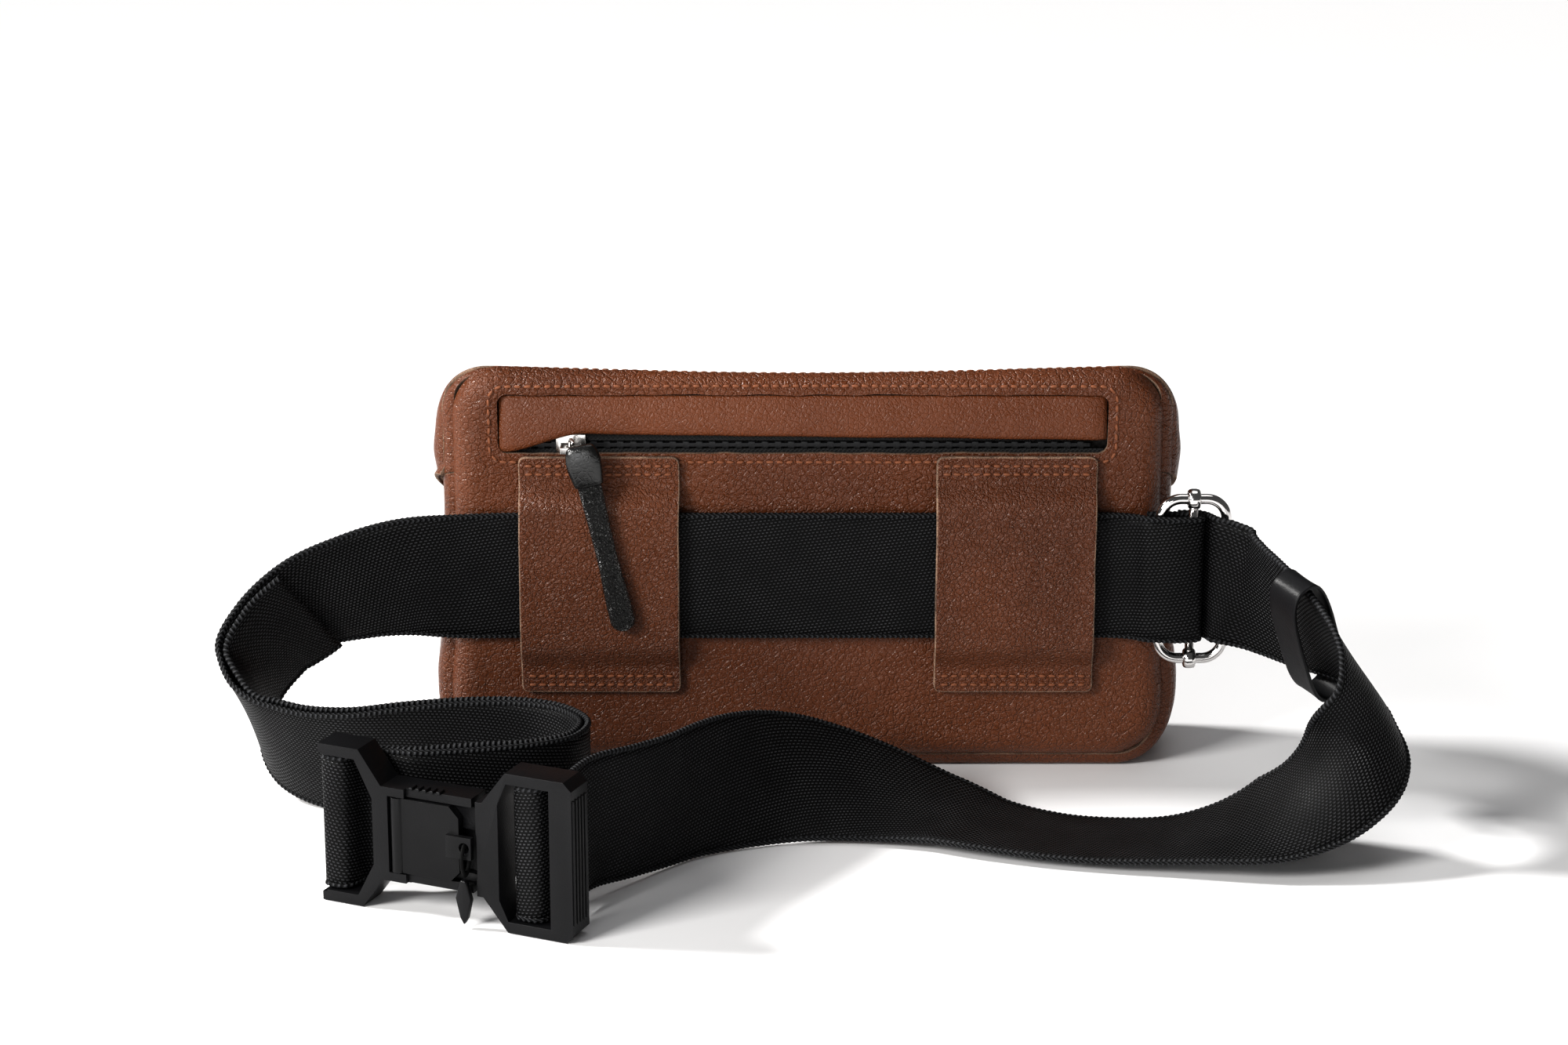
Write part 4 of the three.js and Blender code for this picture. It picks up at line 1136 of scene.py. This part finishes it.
# (distance, half width, half depth, push outward) down the folded band of a pull
BAND = ((-0.6, 3.4, 0.9, 0.2), (0.2, 4.3, 1.5, 0.3), (1.6, 4.9, 1.9, 0.3), (4, 5.4, 2.1, 0.2),
        (7, 5.3, 2.2, 0.1), (9.4, 4.9, 2.1, 0), (11.0, 4.6, 2.0, 0), (11.9, 4.4, 1.8, 0),
        (12.3, 4.1, 1.3, 0))


def leather_pull(name, top, ahead, side, out, length, body, node, wide=1.0, droop=0.0):
    """A pull: a smooth folded band at its head, and a grained strip with a rounded tip."""
    top, ahead, side, out = Vector(top), Vector(ahead).normalized(), Vector(side), Vector(out)
    start, tip = 7.0, 3.6
    runs = list(np.linspace(start, length - tip, 26)) + [
        length - tip + tip * math.sin(math.radians(a)) for a in (12, 24, 36, 48, 58, 67, 75, 82, 87)]
    strip = []
    for s in runs:
        t = (s - start) / (length - start)
        half = 3.7 - 0.6 * ease(t / 0.5) + 0.6 * ease((t - 0.55) / 0.3)
        narrow = math.sqrt(max(0.0, 1 - max(0.0, (s - length + tip) / tip) ** 2))
        depth = 1.3 * (0.4 + 0.6 * narrow)
        place = top + ahead * s - out * droop * ease((s - 9) / 9)
        strip.append((place, side, half * narrow * wide + 0.05, out, depth))
    pieces = [lofted(name + "_strip", strip, "black_grain")]
    band = []
    for s, half, depth, push in BAND:
        band.append((top + ahead * s + out * push, side, half * wide, out, depth * (1 - 0.12 * droop)))
    pieces.append(lofted(name + "_band", band, "black_smooth", 0.5))
    return finish_piece(joined(name, pieces), body, node, slot="pull_leather")


def make_pulls():
    lean = math.radians(12.5)
    leather_pull("back_pull_leather", (-68.6, -32.0, 107.6), (math.sin(lean), 0, -math.cos(lean)),
                 (math.cos(lean), 0, math.sin(lean)), (0, -1, 0), 59.5, "back_pull", "back_pull")
    tilt = math.radians(12)
    leather_pull("main_pull_leather", (72.6, -6.6, 123.5), (-1, 0, 0), (0, math.cos(tilt), -math.sin(tilt)),
                 (0, math.sin(tilt), math.cos(tilt)), 44.0, "main_pull", "main_zip_pull", 0.72, 1.4)


# ---- buckle details ----
def buckle_block(u0, u1, n0, n1, z0, z1):
    """A small moulded block on the buckle with softened edges."""
    corners = [at_buckle(u, n, z) for u in (u0, u1) for n in (n0, n1) for z in (z0, z1)]
    faces = [(0, 1, 3, 2), (4, 6, 7, 5), (0, 4, 5, 1), (2, 3, 7, 6), (0, 2, 6, 4), (1, 5, 7, 3)]
    obj = link("block", mesh_from("block", [Vector(c) * MM for c in corners], faces), M["plastic"])
    outward(obj)
    add_bevel(obj, 0.3 * MM, 3).harden_normals = True
    return settle(obj)


def make_buckle():
    for node, width, material in (("buckle_frame", 0.7, "plastic"), ("buckle_hook", 0.7, "plastic"),
                                  ("latch_plate", 0.35, "latch"), ("pull_tab", 0.55, "plastic"),
                                  ("magnet_left", 0.2, "magnet"), ("magnet_right", 0.2, "magnet"),
                                  ("latch_pin", 0.1, "nickel"), ("pull_cord", 0.05, "cord")):
        bevelled(node, width * MM, M[material], 3)
    ridges = [buckle_block(39.6, 40.5, -3.6 + 1.8 * i, -2.7 + 1.8 * i, 5.5, 42.5) for i in range(5)]
    finish_piece(joined("buckle_grip_ridges", ridges), "buckle_right", slot="black_plastic")
    tops = [buckle_block(-11.5 + 2.2 * i, -10.3 + 2.2 * i, 1.0, 4.2, 37.5, 38.5) for i in range(5)]
    finish_piece(joined("buckle_top_ridges", tops), "belt", slot="black_plastic")


# ---- zips and the rest of the CAD pieces ----
def dress_nodes():
    plain = {
        "lining": ["lining_front", "lining_back", "pocket_bag"],
        "board": ["base_board"],
        "tape": ["main_zip_tape_rear", "main_zip_tape_front", "back_zip_tape_upper", "back_zip_tape_lower"],
    }
    for material, names in plain.items():
        for name in names:
            NODES[name].data.materials.clear()
            NODES[name].data.materials.append(M[material])
    for name, width, material in (
            ("main_zip_teeth", 0.18, "teeth"), ("back_zip_teeth", 0.18, "teeth"),
            ("main_zip_stop_left", 0.25, "nickel"), ("main_zip_stop_right", 0.25, "nickel"),
            ("main_zip_slider", 0.5, "nickel"), ("back_zip_slider", 0.15, "nickel"),
            ("back_pull_link", 0.05, "nickel")):
        bevelled(name, width * MM, M[material])


# ---- floor and light ----
def aimed_light(name, kind, place, energy, colour, **settings):
    """A light at a place, aimed at the middle of the pack."""
    data = bpy.data.lights.new(name, kind)
    data.energy, data.color = energy, colour
    for key, value in settings.items():
        setattr(data, key, value)
    light = bpy.data.objects.new(name, data)
    bpy.context.scene.collection.objects.link(light)
    light.location = place
    aim = Vector((0, -0.04, 0.05)) - Vector(place)
    light.rotation_euler = aim.to_track_quat("-Z", "Y").to_euler()


def make_stage():
    floor_material = Shader("floor", (0.90, 0.90, 0.91), 0.8, Specular_IOR_Level=0.1)
    mesh = bpy.data.meshes.new("floor")
    mesh.from_pydata([(-8, -6, 0), (8, -6, 0), (8, 12, 0), (-8, 12, 0)], [], [(0, 1, 2, 3)])
    link("floor", mesh, floor_material.material)
    scene = bpy.context.scene
    scene.view_settings.view_transform = "Standard"
    scene.view_settings.gamma = 0.86
    world = bpy.data.worlds.new("world")
    scene.world = world
    world.use_nodes = True
    sky = world.node_tree.nodes["Background"]
    sky.inputs["Color"].default_value = (1.0, 1.0, 1.0, 1)
    sky.inputs["Strength"].default_value = 0.10
    aimed_light("key", "SUN", (-0.80, 0.10, 0.66), 4.3, (1.0, 0.99, 0.97), angle=math.radians(10))
    aimed_light("top", "SUN", (0.05, 0.12, 1.0), 0.5, (1.0, 1.0, 1.0), angle=math.radians(40))
    aimed_light("front", "AREA", (-0.80, -0.75, 0.62), 16.5, (1.0, 0.985, 0.96), shape="SQUARE", size=0.4)
    aimed_light("low", "AREA", (-0.34, -1.15, 0.24), 3.4, (1.0, 1.0, 1.0), shape="SQUARE", size=0.5)


# ---- everything ----
make_back_panel()
make_window_flap()
make_front_panel()
make_gussets()
for end in (-1, 1):
    make_loop(end)
make_stitching()
belt_length = make_belt()
strap_length = make_right_strap()
print("webbing lengths, mm:", round(belt_length), round(strap_length))
make_keeper()
make_adjuster()
make_pulls()
make_buckle()
dress_nodes()
make_stage()
